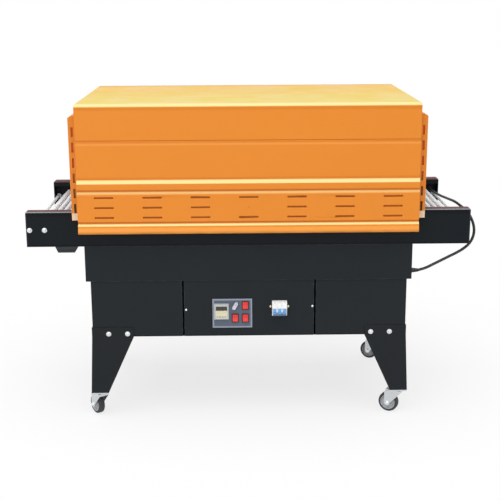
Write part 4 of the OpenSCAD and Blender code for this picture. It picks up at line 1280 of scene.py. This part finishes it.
class TUNNEL_OT_casters(bpy.types.Operator):
    """Makes the caster plates, forks, axle nuts and wheels"""
    bl_idname = "tunnel.casters"
    bl_label = "Casters"
    bl_options = UNDOABLE

    def execute(self, context):
        softened("caster_plates", 0.0010, "fork_zinc", "caster_zinc")
        trail, axle_z, half = 0.032, 0.0375, 0.0203
        for corner, (side_x, side_y, yaw) in CASTERS.items():
            softened(corner + "_fork", 0.0009, "fork_zinc", "caster_zinc")
            turn = Matrix.Rotation(math.radians(yaw), 3, "Z")
            hub = Vector((side_x * STEM[0], side_y * STEM[1], 0)) + turn @ Vector((trail, 0, axle_z))
            across = turn @ Vector((0, 1, 0))
            ends = [(hub + side * half * across, side * across) for side in BOTH]
            hex_bolts(corner + "_axle_nuts", ends, 0.0078, 0.0010, 0.0066, 0.0040, body=corner + "_caster")
            self.wheel(corner, hub, across)
        return {"FINISHED"}

    def wheel(self, corner, hub, across):
        """A dished hub with ribs and a rubber tyre."""
        tyre, half, bore, boss = 0.0375, 0.012, 0.00405, 0.017
        wheel = Shape()
        side = [(boss, bore), (boss, 0.0072), (boss - 0.0012, 0.0080), (0.0085, 0.0098), (0.0066, 0.0112),
                (0.0060, 0.0225), (0.0074, 0.0245), (0.0106, 0.0252), (half, 0.0262), (half, 0.0280),
                (half - 0.0006, 0.0284), (half - 0.0006, 0.0292), (half, 0.0296), (half - 0.0003, 0.0335),
                (half - 0.0024, 0.0366), (half * 0.5, tyre)]
        finishes = [1] * 9 + [0] * 7
        profile = side + [(-along, radius) for along, radius in reversed(side)]
        wheel.turned(profile, hub, across, 64, finishes + finishes[:-1][::-1] + [1])
        up = Vector((0, 0, 1))
        upright = Matrix.Translation(hub) @ Matrix((across.cross(up), across, up)).transposed().to_4x4()
        for rib in range(6):
            spoke = upright @ Matrix.Rotation(rib * math.pi / 3, 4, "Y")
            for face in BOTH:
                place = spoke @ Matrix.Translation((0, face * 0.0066, 0.0168))
                wheel.block((0.0024, 0.0030, 0.0135), place, 1)
        wheel.piece(corner + "_tyre_and_hub", ["tyre_rubber", "hub_plastic"], "wheel_rubber",
                    corner + "_wheel", body=corner + "_wheel")


MAKERS = (
    TUNNEL_OT_stage, TUNNEL_OT_link_cable, TUNNEL_OT_hood, TUNNEL_OT_end_frames, TUNNEL_OT_lining,
    TUNNEL_OT_rails, TUNNEL_OT_rollers, TUNNEL_OT_chains, TUNNEL_OT_tray, TUNNEL_OT_cabinet, TUNNEL_OT_legs,
    TUNNEL_OT_fasteners, TUNNEL_OT_control_plate, TUNNEL_OT_switches, TUNNEL_OT_speed_knob, TUNNEL_OT_breaker,
    TUNNEL_OT_casters,
)
GROUPS = {"tunnel_colours": TunnelColours, "tunnel_sizes": TunnelSizes, "tunnel_stage": TunnelStage}


class TUNNEL_PT_pieces(bpy.types.Panel):
    """Lists the settings and the makers"""
    bl_label = "Heat shrink tunnel"
    bl_space_type = "VIEW_3D"
    bl_region_type = "UI"
    bl_category = "Tunnel"

    def draw(self, context):
        for name, group in GROUPS.items():
            box = self.layout.box()
            for key in group.__annotations__:
                box.prop(getattr(context.scene, name), key)
        for maker in MAKERS:
            self.layout.operator(maker.bl_idname)


CLASSES = (*GROUPS.values(), *MAKERS, TUNNEL_PT_pieces)


def register():
    for item in CLASSES:
        bpy.utils.register_class(item)
    for name, group in GROUPS.items():
        setattr(bpy.types.Scene, name, PointerProperty(type=group))


def unregister():
    for name in GROUPS:
        delattr(bpy.types.Scene, name)
    for item in reversed(CLASSES):
        bpy.utils.unregister_class(item)


def main():
    register()
    for maker in MAKERS:
        module, name = maker.bl_idname.split(".")
        getattr(getattr(bpy.ops, module), name)()


if __name__ == "__main__":
    main()
